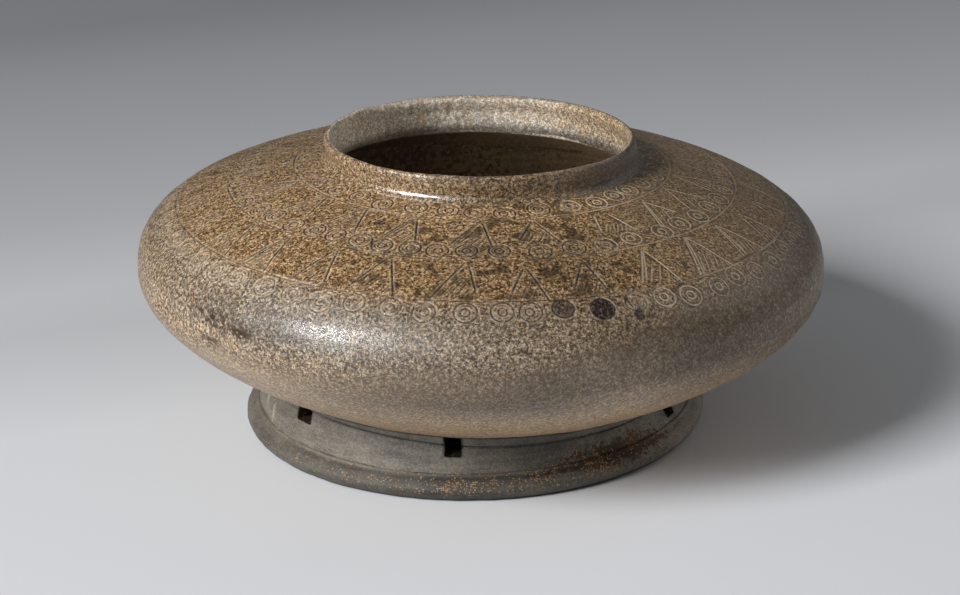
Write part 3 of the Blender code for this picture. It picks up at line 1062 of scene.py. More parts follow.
@dataclass(frozen=True)
class AshGlaze:
    """Natural ash glaze over grey clay: grains, olive mottling, rust and incised lines.

    The pieces that wear it keep these fields at their vertices: grain, warm, fleck, blue, mottle, rust,
    line, edge, bright, pool, gloss and light; light is painted light and shade together with the glaze's
    own tone.
    """

    name: str = "ash_glaze"
    grain_size: float = 0.28 * MM
    clot_size: float = 0.85 * MM
    fleck_size: float = 0.75 * MM
    blotch_size: float = 5.0 * MM
    spot_size: float = 4.4 * MM
    pit_size: float = 2.2 * MM
    worn_size: float = 1.6 * MM
    warm_stops: ColorStops = (
        *((0.0, Color(30, 14, 3)), (0.22, Color(85, 53, 20)), (0.5, Color(145, 109, 67))),
        *((0.75, Color(187, 150, 104)), (1.0, Color(238, 208, 163))),
    )
    cool_stops: ColorStops = (
        *((0.0, Color(64, 46, 30)), (0.25, Color(106, 89, 70)), (0.5, Color(131, 114, 94))),
        *((0.75, Color(155, 136, 112)), (1.0, Color(210, 189, 159))),
    )
    blue_stops: ColorStops = (
        *((0.0, Color(58, 58, 56)), (0.25, Color(94, 95, 93)), (0.5, Color(121, 122, 119))),
        *((0.75, Color(150, 150, 145)), (1.0, Color(204, 202, 194))),
    )
    plain_warm: Color = Color(143, 122, 97)
    plain_cool: Color = Color(133, 123, 109)
    streak: Color = Color(108, 94, 78)
    olive: Color = Color(106, 83, 52)
    olive_deep: Color = Color(44, 30, 12)
    rust: Color = Color(62, 42, 20)
    orange: Color = Color(206, 158, 104)
    # Tints of the lines: glaze pooled dark in them with painted shade, and broken light at their edges
    # with a painted highlight.
    dark_line: Color = Color(32, 25, 18)
    light_line: Color = Color(236, 212, 184)
    pooled: Color = Color(40, 29, 25)
    roughness: float = 0.46
    glint_roughness: float = 0.26
    gloss_roughness: float = 0.16

    def material(self) -> bpy.types.Material:
        """Returns the glaze's material.

        Returns:
            The material.
        """
        r = Recipe(self.name)
        space = r.space()
        distance, chance = r.grains(space, self.grain_size)
        clot = r.noise(space, self.clot_size, 2.0, 0.6)
        blotch = r.noise(space, self.blotch_size, 3.0, 0.6)
        warm = r.calc("MULTIPLY_ADD", r.span(blotch, 0.3, 0.7), 0.3, r.field("warm"))
        clotted = r.calc("SUBTRACT", r.span(clot, 0.3, 0.7, 0.72), 0.22, clamp=False)
        tone = r.calc("ADD", r.times(chance, 0.75), clotted)
        grainy = r.mix(warm, r.ramp(tone, self.cool_stops), r.ramp(tone, self.warm_stops))
        patchy = r.times(r.field("blue"), r.span(blotch, 0.25, 0.5))
        grainy = r.mix(patchy, grainy, r.ramp(tone, self.blue_stops))
        streaks = r.span(r.noise(r.space((1.0, 1.0, 12.0)), 15.0 * MM, 4.0, 0.6), 0.34, 0.66)
        plain = r.mix(warm, self.plain_cool, self.plain_warm)
        plain = r.mix(r.times(streaks, 0.35), plain, self.streak)
        color = r.mix(r.field("grain"), plain, grainy)
        dot, dotted = r.grains(space, self.fleck_size)
        dot = r.times(r.span(dotted, 0.62, 0.8), r.span(dot, 0.36, 0.16))
        color = r.mix(r.times(dot, r.field("fleck")), color, self.orange)
        # Olive mottling
        spots = r.noise(space, self.spot_size, 2.2, 0.5)
        spread = r.calc("MULTIPLY_ADD", r.field("mottle"), -0.30, 0.83)
        mottled = r.span(r.calc("SUBTRACT", spots, spread, clamp=False), -0.015, 0.045)
        olive = r.mix(r.span(tone, 0.0, 1.0, 0.95), self.olive_deep, self.olive)
        color = r.mix(r.times(mottled, 0.82), color, olive)
        # Rust
        pits = r.noise(space, self.pit_size, 4.0, 0.7)
        color = r.mix(r.times(r.span(pits, 0.42, 0.56), r.field("rust")), color, self.rust)
        # Lines: dark where glaze lies in them, with painted shade, and light where it broke from their
        # edges, with a painted highlight. On the side turned from the key light the tints swap, lines
        # light and edges dark, as painted highlight and shade where the key grazes the groove walls
        worn = r.span(r.noise(space, self.worn_size, 2.0, 0.6), 0.28, 0.62)
        edged = r.mix(r.field("bright"), self.light_line, self.dark_line)
        color = r.mix(r.times(worn, r.field("edge")), color, edged)
        tint = r.mix(r.field("bright"), self.dark_line, self.light_line)
        worn = r.calc("MULTIPLY_ADD", worn, 0.25, 0.75)
        color = r.mix(r.times(worn, r.field("line")), color, tint)
        pooled = r.mix(r.span(tone, 0.55, 1.1, 0.28), self.pooled, self.light_line)
        # The field light: painted light and shade together with the glaze's own tone.
        color = r.times_tone_and_painted_light(r.mix(r.field("pool"), color, pooled))
        # Gloss
        glints = r.times(r.span(chance, 0.55, 0.95), r.field("grain"))
        glints = r.calc("MAXIMUM", glints, r.field("pool"))
        rough = r.mapped(glints, to_min=self.roughness, to_max=self.glint_roughness)
        rough = r.mapped(r.field("gloss"), to_min=rough, to_max=self.gloss_roughness)
        still = r.calc("SUBTRACT", 1.0, r.span(r.field("gloss"), 0.82, 1.0, 0.95))
        bumps = r.times(r.times(r.span(distance, 0.0, 0.75), r.field("grain")), still)
        normal = r.relief(r.noise(space, 0.8 * MM, 2.0), 0.05 * MM, still)
        strength = r.calc("MULTIPLY_ADD", r.span(r.field("gloss"), 0.1, 0.5), 0.5, 0.3)
        normal = r.relief(bumps, 0.08 * MM, strength, normal)
        coat = {"Coat Weight": r.span(r.field("gloss"), 0.45, 0.9), "Coat Normal": normal}
        coat |= {"Coat Roughness": self.glint_roughness, "Coat IOR": 1.7}
        return r.surface({"Base Color": color, "Roughness": rough, "Normal": normal} | coat)


@dataclass(frozen=True)
class Stoneware:
    """Fired clay without glaze, with faint wheel marks and a scatter of ash.

    Its pieces keep these fields at their vertices: light, ash, cream and rust; light is painted light
    and shade together with the clay's own tone.
    """

    name: str
    body: Color
    dark: Color
    ash: Color = Color(176, 156, 128)
    orange: Color = Color(160, 120, 78)
    cream: Color = Color(178, 170, 146)
    rust: Color = Color(80, 60, 37)
    roughness: float = 0.62
    blotch_size: float = 7.0 * MM
    pit_size: float = 1.7 * MM
    mark_size: float = 0.9 * MM
    ash_size: float = 0.58 * MM
    grain_size: float = 0.36 * MM

    def material(self) -> bpy.types.Material:
        """Returns the clay's material.

        Returns:
            The material.
        """
        r = Recipe(self.name)
        space = r.space()
        streaks = r.noise(r.space((1.0, 1.0, 9.0)), 12.0 * MM, 4.0, 0.6)
        blotch = r.noise(space, self.blotch_size, 4.0, 0.6)
        _, chance = r.grains(space, self.grain_size)
        color = r.mix(r.span(streaks, 0.34, 0.68, 0.75), self.dark, self.body)
        color = r.mix(r.span(blotch, 0.35, 0.75, 0.55), color, self.body.times(1.12))
        color = r.mix(r.span(chance, 0.5, 1.0, 0.42), color, self.dark.times(0.78))
        color = r.mix(r.span(chance, 0.45, 0.0, 0.40), color, self.body.times(1.22))
        pits = r.noise(space, self.pit_size, 4.0, 0.7)
        color = r.mix(r.times(r.span(pits, 0.38, 0.50), r.field("cream")), color, self.cream)
        spread = r.calc("MULTIPLY_ADD", r.field("rust"), -0.36, 0.76)
        rusty = r.span(r.calc("SUBTRACT", pits, spread, clamp=False), -0.03, 0.05)
        # The field light: painted light and shade together with the clay's own tone.
        color = r.times_tone_and_painted_light(r.mix(rusty, color, self.rust))
        # Ash
        dot, dotted = r.grains(space, self.ash_size)
        spread = r.calc("MULTIPLY_ADD", r.field("ash"), -0.5, 1.02)
        fallen = r.span(r.calc("SUBTRACT", dotted, spread, clamp=False), 0.0, 0.04)
        ashed = r.times(fallen, r.span(r.calc("MULTIPLY_ADD", chance, 0.3, dot), 0.66, 0.48))
        ashed = r.times(ashed, r.span(pits, 0.34, 0.46))
        tint = r.mix(r.span(chance, 0.3, 0.8), self.orange, self.ash)
        color = r.mix(r.times(ashed, 0.8), color, tint)
        normal = r.relief(r.noise(space, self.mark_size, 3.0, 0.6), 0.06 * MM, 0.7)
        normal = r.relief(ashed, 0.12 * MM, 0.6, normal)
        return r.surface({"Base Color": color, "Roughness": self.roughness, "Normal": normal})


# Clay members


MAROON_SIDE = Facing(-150.0, 45.0)
# Painted light and shade of the inside round the jar, darkest on the maroon side.
INSIDE_PAINTED_LIGHT = ((-180.0, 0.95), (-150.0, 0.5), (-60.0, 0.6), (60.0, 0.75), (150.0, 0.75))


def hand_relief(skin: Skin, ridge: float = 0.03 * MM) -> Array:
    """Returns how far hands and wheel left each vertex of a skin off its curve.

    Args:
        skin: The skin.
        ridge: Height of the ridges.

    Returns:
        The heights.
    """
    soft = 0.13 * MM * lattice_noise(skin.place, 9.0 * MM, 1)
    fine = 0.035 * MM * lattice_noise(skin.place, 2.6 * MM, 2)
    wheel = ridge * np.sin(skin.place[:, 2] / (0.55 * MM) + 1.5 * waves(skin.azimuth, 6, 4))
    return soft + fine + wheel


def underside(place: Array) -> Array:
    """Returns the height of the leaning bowl's underside over each place round the foot.

    Args:
        place: Places, from the foot's own axis.

    Returns:
        The heights over the floor.
    """
    x, y = place[:, 0] - FOOT_SHIFT, place[:, 1]
    back = np.array(LEAN.inverted())
    height = np.full(len(x), EQUATOR_HEIGHT / 3)
    for _ in range(30):
        local = back[:3, :3] @ np.vstack([x, y, height]) + back[:3, 3:]
        radius = np.maximum(np.hypot(local[0], local[1]), BASE_RADIUS)
        height = height - (local[2] + BOWL_CURVE.away(radius))
    return height


def shoulder_height(radius: float) -> float:
    """Returns the shoulder's height over the widest line at a radius."""
    return float(SHOULDER_CURVE.away(np.array(radius)))


@dataclass(frozen=True)
class Belly:
    """How the glaze lies round the belly, on the shoulder's rim and on the bowl alike.

    Attributes:
        over: Painted light and shade over the widest line, round the jar, with the glaze's own tone.
        line: Painted light and shade at the widest line, with the glaze's own tone.
        under: Painted light and shade under the widest line, with the glaze's own tone.
        foot_tone_and_painted_light: Painted light and the glaze's own tone close to the foot.
        grain_end: Height where the grains end, in millimetres, round the jar.
        rusty: Azimuth, height, width and spread of the rusty patches, in millimetres.
        tan_side: Where it is warm and tan.
        blue_side: Where it is blue grey.
        glassy_side: Where it is glassiest.
    """

    over: Pairs = (
        *((-100.0, 0.9), (-80.0, 0.96), (-60.0, 0.9), (-50.0, 0.78), (-41.0, 0.72)),
        *((-34.0, 0.58), (-25.0, 0.84), (-10.0, 0.92), (0.0, 0.86), (10.0, 0.8), (17.0, 0.7)),
        *((23.0, 0.56), (33.0, 0.53), (43.0, 0.60), (54.0, 0.74), (75.0, 0.76), (120.0, 0.8)),
    )
    line: Pairs = (
        *((-100.0, 1.0), (-60.0, 1.1), (-45.0, 1.15), (-40.0, 1.1), (-33.0, 0.92), (-27.0, 1.05)),
        *((-20.0, 0.88), (-13.0, 0.76), (0.0, 0.67), (9.0, 0.60), (14.0, 0.64), (18.0, 0.76)),
        *((24.0, 0.8), (33.0, 0.60), (43.0, 0.62), (54.0, 0.74), (75.0, 0.8), (120.0, 0.85)),
    )
    under: Pairs = (
        *((-100.0, 1.2), (-60.0, 1.4), (-45.0, 1.65), (-38.0, 1.65), (-33.0, 1.5), (-27.0, 1.2)),
        *((-20.0, 0.88), (-10.0, 0.76), (0.0, 0.70), (8.0, 0.68), (14.0, 0.82)),
        *((18.0, 1.1), (24.0, 1.4), (32.0, 1.05), (60.0, 1.05), (120.0, 1.0)),
    )
    foot_tone_and_painted_light: float = 1.6
    grain_end: Pairs = (
        *((-180.0, 4.0), (-60.0, -3.0), (-30.0, -1.5), (-13.0, 0.5), (0.0, 3.0), (11.0, 5.0)),
        *((18.0, 8.0), (25.0, 12.0), (33.0, 16.0), (60.0, 19.0), (120.0, 12.0)),
    )
    rusty: tuple[tuple[float, float, float, float], ...] = (
        *((-47.5, 5.5, 7.0, 2.6), (-41.0, 4.2, 5.0, 1.6), (-47.8, -0.9, 3.5, 1.5)),
    )
    tan_side: Facing = Facing(80.0, 40.0)
    blue_side: Facing = Facing(-24.0, 38.0)
    glassy_side: Facing = Facing(-22.0, 18.0)

    def _glaze_tone_and_painted_light(self, skin: Skin) -> Array:
        """Returns the glaze's own tone with painted light and shade round the jar and down to the foot.

        Args:
            skin: The skin.

        Returns:
            The share of light.
        """
        height = skin.place[:, 2]
        over, line, under = (
            around(skin.azimuth, stops) for stops in (self.over, self.line, self.under)
        )
        light = over + (line - over) * smoothstep(height, 8.0 * MM, 1.0 * MM)
        light = light + (under - light) * smoothstep(height, -1.0 * MM, -8.0 * MM)
        return light + (self.foot_tone_and_painted_light - light) * smoothstep(height, -7.0 * MM, -18.0 * MM)

    def rust(self, skin: Skin) -> Array:
        """Returns how rusty the glaze is in patches at the widest line.

        Args:
            skin: The skin.

        Returns:
            The share of rust.
        """
        rust = np.zeros(len(skin.radius))
        for azimuth, height, width, tall in self.rusty:
            across = np.radians(shortest_turn(skin.azimuth, azimuth)) * skin.radius / (width * MM)
            rust += 1.1 * np.exp(-(across**2) - ((skin.place[:, 2] / MM - height) / tall) ** 2)
        return rust

    def sheen(self, skin: Skin) -> Array:
        """Returns how much glassier the glaze is on the turn of the belly at the front left.

        Args:
            skin: The skin.

        Returns:
            The share of gloss.
        """
        height = skin.place[:, 2] - 9.5 * MM
        glassy = 0.84 * self.glassy_side.at(skin.azimuth) * bump(height, 8.0 * MM)
        return glassy * (skin.out > 0)

    def fields(self, skin: Skin) -> dict[str, Array | float]:
        """Returns the fields of the glaze, from grainy and blue grey to plain.

        Args:
            skin: The skin.

        Returns:
            Values by the name of their field.
        """
        height = skin.place[:, 2]
        stray = 3.0 * MM * lattice_noise(skin.place, 14.0 * MM, 44)
        end = around(skin.azimuth, self.grain_end) * MM
        grainy = smoothstep(height - end + stray, -5.5 * MM, 4.5 * MM)
        tan = self.tan_side.at(skin.azimuth)
        low = smoothstep(height, -8.0 * MM, -20.0 * MM)
        blue = self.blue_side.at(skin.azimuth) * bump(height - 8.0 * MM, 9.0 * MM)
        return {
            "grain": 0.48 + 0.5 * grainy,
            "blue": 0.08 + 0.46 * blue,
            "warm": 0.22 + 0.5 * tan + 0.4 * low,
            "fleck": 0.3 + 0.65 * grainy,
            "mottle": 0.12,
            "rust": 0.15 + 0.35 * tan + self.rust(skin),
            "light": self._glaze_tone_and_painted_light(skin),
        }


BELLY = Belly()


@dataclass(frozen=True)
class Zone:
    """One ring of the shoulder.

    Attributes:
        name: The ring's name.
        inner: Radius of its upper edge.
        outer: Radius of its lower edge.
        steps: Steps round a full turn.
        row: Distance between its rows.
    """

    name: str
    inner: float
    outer: float
    steps: int
    row: float


@dataclass(frozen=True)
class Shoulder:
    """The domed shoulder with its ornament, as rings that meet edge to edge.

    Attributes:
        wall: Thickness of the clay.
        edge: Radius and height of the opening's edge, upwards, in millimetres.
        seam: Radius and height of the seam's inner edge.
        zones: The rings, from the opening down to the widest line.
        ornament: What is cut and pressed into it.
        tone_and_painted_light_round: Painted light and shade round the shoulder, with the glaze's own
            tone.
        line_round: How strongly the lines show round the shoulder.
        edge_round: How strongly their edges show.
        mottled_side: Where olive mottling is thickest.
        rusty_side: Where the glaze is rusty.
        blue_side: Where the lowest row of stamps is blue grey.
        root_side: Where the shoulder is made lighter round the collar's root.
        olive_side: Where olive glaze darkens the lower triangles.
    """

    wall: float = 6.0 * MM
    edge: Pairs = ((47.8, 25.5), (46.6, 26.6), (45.8, 28.4), (45.3, 30.2))
    seam: tuple[float, float] = (94.0 * MM, 3.5 * MM)
    zones: tuple[Zone, ...] = (
        Zone("shoulder_opening", 45.2 * MM, 54.0 * MM, 1440, 0.30 * MM),
        Zone("shoulder_upper", 54.0 * MM, 64.0 * MM, 1680, 0.27 * MM),
        Zone("shoulder_middle", 64.0 * MM, 74.1 * MM, 1680, 0.27 * MM),
        Zone("shoulder_lower", 74.1 * MM, 82.0 * MM, 1920, 0.27 * MM),
        Zone("shoulder_turn", 82.0 * MM, 89.2 * MM, 1920, 0.27 * MM),
        Zone("shoulder_stamps", 89.2 * MM, 96.2 * MM, 1920, 0.28 * MM),
        Zone("shoulder_rim", 96.2 * MM, 100.0 * MM, 1440, 0.60 * MM),
    )
    ornament: Ornament = Ornament()
    tone_and_painted_light_round: Pairs = (
        *((-180.0, 0.62), (-110.0, 0.56), (-70.0, 0.88), (-45.0, 1.08), (-20.0, 0.88)),
        *((0.0, 0.70), (12.0, 0.66), (24.0, 0.66), (36.0, 0.68), (50.0, 0.68)),
        *((70.0, 0.58), (90.0, 0.56), (110.0, 0.72)),
    )
    line_round: Pairs = ((-180.0, 0.9), (-60.0, 0.92), (-40.0, 1.0), (90.0, 1.0))
    edge_round: Pairs = (
        *((-180.0, 0.6), (-60.0, 0.5), (-40.0, 0.45), (-25.0, 0.38), (20.0, 0.38)),
        *((34.0, 0.8), (90.0, 0.7)),
    )
    mottled_side: Facing = Facing(12.0, 34.0)
    rusty_side: Facing = Facing(-40.0, 28.0)
    blue_side: Facing = Facing(-34.0, 30.0)
    root_side: Facing = Facing(10.0, 34.0)
    olive_side: Facing = Facing(18.0, 9.0)

    def _profile(self, zone: Zone) -> Profile:
        """Returns the outline of one ring.

        Args:
            zone: The ring's zone.

        Returns:
            The outline.
        """
        outer = SHOULDER_CURVE.points(zone.inner, zone.outer, zone.row)
        under = [beneath(point, self.wall) for point in (outer[-1], outer[len(outer) // 2])]
        if zone.outer >= BODY_RADIUS:
            under = [hidden(*self.seam)]
        if zone is not self.zones[0]:
            return outer + under + [beneath(outer[0], self.wall)]
        return outer + under + [hidden(*corner) for corner in in_metres(self.edge)]

    def build(self) -> list[Skin]:
        """Turns the rings and cuts the ornament into them.

        Returns:
            The rings' skins.
        """
        made = []
        for zone in self.zones:
            skin = Skin(zone.name, self._profile(zone), zone.steps)
            azimuth = skin.azimuth
            marks = self.ornament.carve(skin)
            relief = hand_relief(skin) * smoothstep(skin.place[:, 2], 0.2 * MM, 3.0 * MM)
            skin.raise_by(relief - marks.cut + 0.045 * MM * marks.edge)
            low_row = smoothstep(skin.radius, 88.9 * MM, 89.4 * MM)
            low_row = low_row * smoothstep(azimuth, 24.0, 18.0)
            faint = low_row * (0.2 + 0.45 * smoothstep(azimuth, 0.0, -22.0))
            dark = around(azimuth, self.line_round) * (1.0 - faint)
            rim = around(azimuth, self.edge_round) * (1.0 + 0.4 * low_row - 0.6 * faint)
            skin.tones(
                line=marks.line * skin.on_skin * dark,
                edge=marks.edge * skin.on_skin * np.clip(rim, 0.0, 0.9),
                pool=np.where(skin.on_skin > 0.5, marks.pool, 0.7 * MAROON_SIDE.at(azimuth)),
            )
            made.append(skin)
        return made

    def _upper_fields(self, skin: Skin) -> dict[str, Array]:
        """Returns the fields of the glaze over the belly.

        Args:
            skin: The skin.

        Returns:
            Values by the name of their field.
        """
        azimuth, radius = skin.azimuth, skin.radius
        upper = smoothstep(radius, 96 * MM, 87 * MM)
        right = smoothstep(azimuth, 26.0, 50.0)
        mottled = (0.55 + 0.45 * self.mottled_side.at(azimuth)) * (0.25 + 0.75 * upper)
        root = self.root_side.at(azimuth) * bump(radius - 50.0 * MM, 9.0 * MM)
        olive = self.olive_side.at(azimuth) * bump(radius - 80.0 * MM, 8.0 * MM)
        # Painted light and shade round the shoulder with the glaze's own tone: darker on the side turned
        # from the key light, lighter round the collar's root.
        light = 0.97 * around(azimuth, self.tone_and_painted_light_round) * (1.0 + 0.5 * root)
        blue = bump(radius - 94.5 * MM, 5.0 * MM) * (0.2 + 0.4 * self.blue_side.at(azimuth))
        return {
            "grain": 1.0 - 0.3 * right,
            "warm": 0.10 + 0.68 * upper,
            "fleck": 0.30 + 0.55 * (1.0 - upper),
            "mottle": mottled * (1.0 - 0.35 * right),
            "rust": 0.45 * self.rusty_side.at(azimuth) * upper + BELLY.rust(skin),
            "blue": blue,
            "light": light * (1.0 - 0.2 * olive),
        }

    def dress(self, skins: list[Skin], glaze: bpy.types.Material) -> None:
        """Lays the glaze on the rings and puts them in the scene.

        Args:
            skins: The rings' skins.
            glaze: The glaze.
        """
        for skin in skins:
            inside = skin.on_skin < 0.5
            maroon = MAROON_SIDE.at(skin.azimuth)
            # Inside, the field light is painted light: several times the glaze's own tone, where little
            # light reaches.
            within = {
                "grain": 0.25,
                "blue": 0.8 * (1.0 - maroon),
                "rust": 0.6 * maroon,
                "light": (1.8 + 0.7 * maroon) * around(skin.azimuth, INSIDE_PAINTED_LIGHT),
            }
            seam = smoothstep(skin.radius, 90.0 * MM, 98.0 * MM)
            low = smoothstep(skin.radius, 94.0 * MM, 98.5 * MM)
            upper = self._upper_fields(skin)
            for name, value in BELLY.fields(skin).items():
                value = upper[name] + (value - upper[name]) * (low if name == "light" else seam)
                skin.tones(**{name: np.where(inside, within.get(name, 0.0), value)})
            # Lines right of 22 degrees take the light tint and their edges the dark: painted highlight
            # and painted shade where the key light grazes the groove walls.
            skin.tones(bright=smoothstep(skin.azimuth, 22.0, 32.0), gloss=BELLY.sheen(skin))
            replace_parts(skin.finish(LEAN, glaze), "shoulder_dome")


@dataclass(frozen=True)
class Neck:
    """The collar with its rounded lip, and the coil smoothed round its root.

    Attributes:
        opening: Radius of the shoulder's opening.
        inner: Radius and height over the joint of the inside's corners, in millimetres.
        lip: Radius and height over the lip's top of the outside's corners.
        root: Radius and height over the shoulder of the coil's corners.
        lip_top: The lip's height over the widest line.
        shift: How far the lip's middle is off the jar's axis, along X and Y.
        tilt: How much the lip rises along X and along Y.
        steps: Steps round a full turn.
        tone_and_painted_light_outside: Painted light and shade round its outside, with the glaze's own
            tone.
        tone_and_painted_light_inside: Painted light round its inside, with the glaze's own tone.
        nick_side: Where the lip stands a little high.
        tan_side: Where the inside is tan.
        cream_side: Where cream slip shows under the inside.
        lit_side: Where the coil glints.
        lip_side: Where the lip glints.
        wet_side: Where the inside glints.
        dim_side: Where the lip is dark.
    """

    opening: float = 43.6 * MM
    inner: Pairs = (
        *((47.4, -6.35), (46.2, -6.3), (45.2, -5.9), (44.55, -4.7), (44.05, -2.9)),
        *((43.55, 0.0), (43.3, 2.2), (43.05, 4.0), (42.95, 5.2)),
    )
    lip: Pairs = (
        *((43.2, -0.55), (43.75, -0.05), (44.3, -0.05), (44.8, -0.5), (45.05, -1.4)),
        *((45.1, -2.8), (45.12, -4.3)),
    )
    root: Pairs = (
        *((45.16, 1.9), (45.22, 1.42), (45.36, 1.18), (45.5, 0.94), (45.64, 0.70)),
        *((45.95, 0.48), (46.4, 0.26), (46.8, -0.3)),
    )
    lip_top: float = 38.9 * MM
    shift: tuple[float, float] = (-0.7 * MM, -0.86 * MM)
    tilt: tuple[float, float] = (0.0080, -0.0070)
    steps: int = 1080
    # Painted light and shade with the glaze's own tone: darker on the side turned from the key light.
    tone_and_painted_light_outside: Pairs = (
        *((-90.0, 0.9), (-30.0, 0.92), (-14.0, 0.76), (0.0, 0.58)),
        *((30.0, 0.70), (50.0, 0.60), (70.0, 0.44), (100.0, 0.5)),
    )
    # Painted light with the glaze's own tone: the inside is made several times lighter, most on the
    # left, where it lies in shade.
    tone_and_painted_light_inside: Pairs = (
        *((-140.0, 3.5), (-80.0, 3.4), (0.0, 1.8), (90.0, 1.5), (130.0, 1.65), (170.0, 2.9)),
    )
    nick_side: Facing = Facing(-126.0, 5.5)
    tan_side: Facing = Facing(116.0, 48.0)
    cream_side: Facing = Facing(156.0, 34.0)
    lit_side: Facing = Facing(-25.0, 22.0)
    lip_side: Facing = Facing(-22.0, 16.0)
    wet_side: Facing = Facing(162.0, 11.0)
    dim_side: Facing = Facing(180.0, 75.0)

    def _outline(self, joint: float) -> Profile:
        """Returns the collar's outline, from the opening's lower edge over the lip.

        Args:
            joint: Height where the outline starts.

        Returns:
            The outline.
        """
        corners = [(r, joint + h) for r, h in in_metres(self.inner)]
        corners += [(r, self.lip_top + h) for r, h in in_metres(self.lip)]
        corners += [(r, shoulder_height(r) + h) for r, h in in_metres(self.root)]
        buried = [hidden(46.3 * MM, joint - 1.8 * MM), hidden(46.7 * MM, joint - 5.0 * MM)]
        return smooth_profile(corners, 0.30 * MM) + buried

    def build(self) -> Skin:
        """Turns the collar and gives it the lip's shift, tilt and unevenness.

        Returns:
            The collar's skin.
        """
        joint = shoulder_height(self.opening)
        skin = Skin("neck_and_lip", self._outline(joint), self.steps)
        share = smoothstep(skin.place[:, 2], joint + 0.3 * MM, self.lip_top - 1 * MM)
        share = np.where(skin.radius > 45.5 * MM, 0.0, share) * skin.on_skin
        rooted = bump(skin.radius - 45.9 * MM, 0.6 * MM) * (skin.out > 0)
        bumps = rooted * 0.16 * MM * lattice_noise(skin.place, 2.4 * MM, 31)
        inside = (skin.out < -0.3) & (skin.place[:, 2] > joint - 5.5 * MM)
        rough = 0.16 * MM * lattice_noise(skin.place * (1.0, 1.0, 0.45), 1.5 * MM, 32) * inside
        skin.raise_by(0.7 * hand_relief(skin) + bumps + rough)
        x, y = skin.place[:, 0].copy(), skin.place[:, 1].copy()
        turn = np.radians(skin.azimuth)
        wobble = 0.16 * MM * waves(skin.azimuth, 21, 6)
        skin.place[:, 0] += share * (self.shift[0] + wobble * np.sin(turn))
        skin.place[:, 1] += share * (self.shift[1] - wobble * np.cos(turn))
        nick = 0.45 * MM * self.nick_side.at(skin.azimuth)
        rise = x * self.tilt[0] + y * self.tilt[1] + 0.12 * MM * waves(skin.azimuth, 22, 7) + nick
        skin.place[:, 2] += share * rise
        return skin

    def _gloss(self, skin: Skin, height: Array, inside: Array, rooted: Array) -> Array:
        """Returns how glassy the glaze is: on the coil, on the lip and in the inside's runs.

        Args:
            skin: The collar's skin.
            height: Height over the joint.
            inside: Whether a vertex is on the inside.
            rooted: How close a vertex is to the coil's middle.

        Returns:
            The gloss of every vertex.
        """
        azimuth, place = skin.azimuth, skin.place
        lip = self.lip_side.at(azimuth) * smoothstep(height, 5.4 * MM, 6.1 * MM)
        lip = lip * (0.35 + 0.65 * smoothstep(lattice_noise(place, 1.6 * MM, 37), -0.3, 0.3))
        glint = self.wet_side.at(azimuth) * bump(height - 2.6 * MM, 2.6 * MM)
        specks = smoothstep(lattice_noise(place, 1.3 * MM, 35), 0.0, 0.25)
        gloss = 1.1 * rooted * self.lit_side.at(azimuth) + 0.8 * lip + glint * specks * inside
        return np.clip(gloss, 0.0, 1.0)

    def _glaze_tone_and_painted_light(self, skin: Skin, height: Array, inside: Array) -> Array:
        """Returns the glaze's own tone with painted light and shade, and painted shade deeper down the
        opening.

        Args:
            skin: The collar's skin.
            height: Height over the joint.
            inside: Whether a vertex is on the inside.

        Returns:
            The lightness of every vertex.
        """
        azimuth = skin.azimuth
        under = height + 0.5 * MM * waves(azimuth, 34, 9, 4) < -5.45 * MM
        cream = inside & under & (height > -6.3 * MM)
        cloudy = 1.0 + 0.15 * lattice_noise(skin.place * (1.0, 1.0, 0.6), 3.5 * MM, 36)
        # Painted shade deeper down the opening.
        deep = smoothstep(height, -1.2 * MM, -4.8 * MM)
        inner = around(azimuth, self.tone_and_painted_light_inside) * cloudy * (1.0 - 0.62 * deep)
        rim = smoothstep(height, 5.0 * MM, 6.2 * MM) * self.dim_side.at(azimuth)
        dim = 1.0 - 0.55 * rim
        inner = np.where(cream, 2.4 * self.cream_side.at(azimuth) + 0.8, inner * dim)
        return np.where(inside, inner, around(azimuth, self.tone_and_painted_light_outside) * dim)

    def dress(self, skin: Skin, glaze: bpy.types.Material) -> None:
        """Lays the glaze on the collar and puts it in the scene.

        Args:
            skin: The collar's skin.
            glaze: The glaze.
        """
        joint = shoulder_height(self.opening)
        azimuth, height = skin.azimuth, skin.place[:, 2] - joint
        inside = (skin.out < 0) & (skin.radius < 47.5 * MM)
        tan = self.tan_side.at(azimuth)
        low = bump(height + 4.0 * MM, 3.2 * MM)
        smooth = smoothstep(azimuth, 12.0, 45.0)
        upper = smoothstep(height, 3.0 * MM, 6.0 * MM)
        low_wall = height < shoulder_height(45.9 * MM) - joint + 2.0 * MM
        rooted = bump(skin.radius - 45.5 * MM, 0.9 * MM) * (skin.out > 0) * low_wall
        patches = smoothstep(waves(azimuth, 33, 14, 3), -0.3, 0.8)
        skin.tones(
            grain=np.where(inside, 0.45 + 0.3 * tan, 0.95 - 0.5 * smooth),
            warm=np.where(inside, 0.26 * tan + 0.16 * upper, 0.44 - 0.05 * smooth),
            fleck=np.where(inside, 0.15 + 0.6 * tan, 1.0 - 0.7 * smooth),
            blue=np.where(inside, 0.95 + 0.5 * low - 0.8 * tan, 0.06),
            mottle=np.where(inside, 0.0, 0.45),
            pool=0.45 * rooted * patches * (1.0 - self.lit_side.at(azimuth)),
            gloss=self._gloss(skin, height, inside, rooted),
            light=self._glaze_tone_and_painted_light(skin, height, inside),
            **dict.fromkeys(("rust", "line", "edge", "bright"), 0.0),
        )
        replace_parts(skin.finish(LEAN, glaze), "neck_collar", "neck_luting_coil")


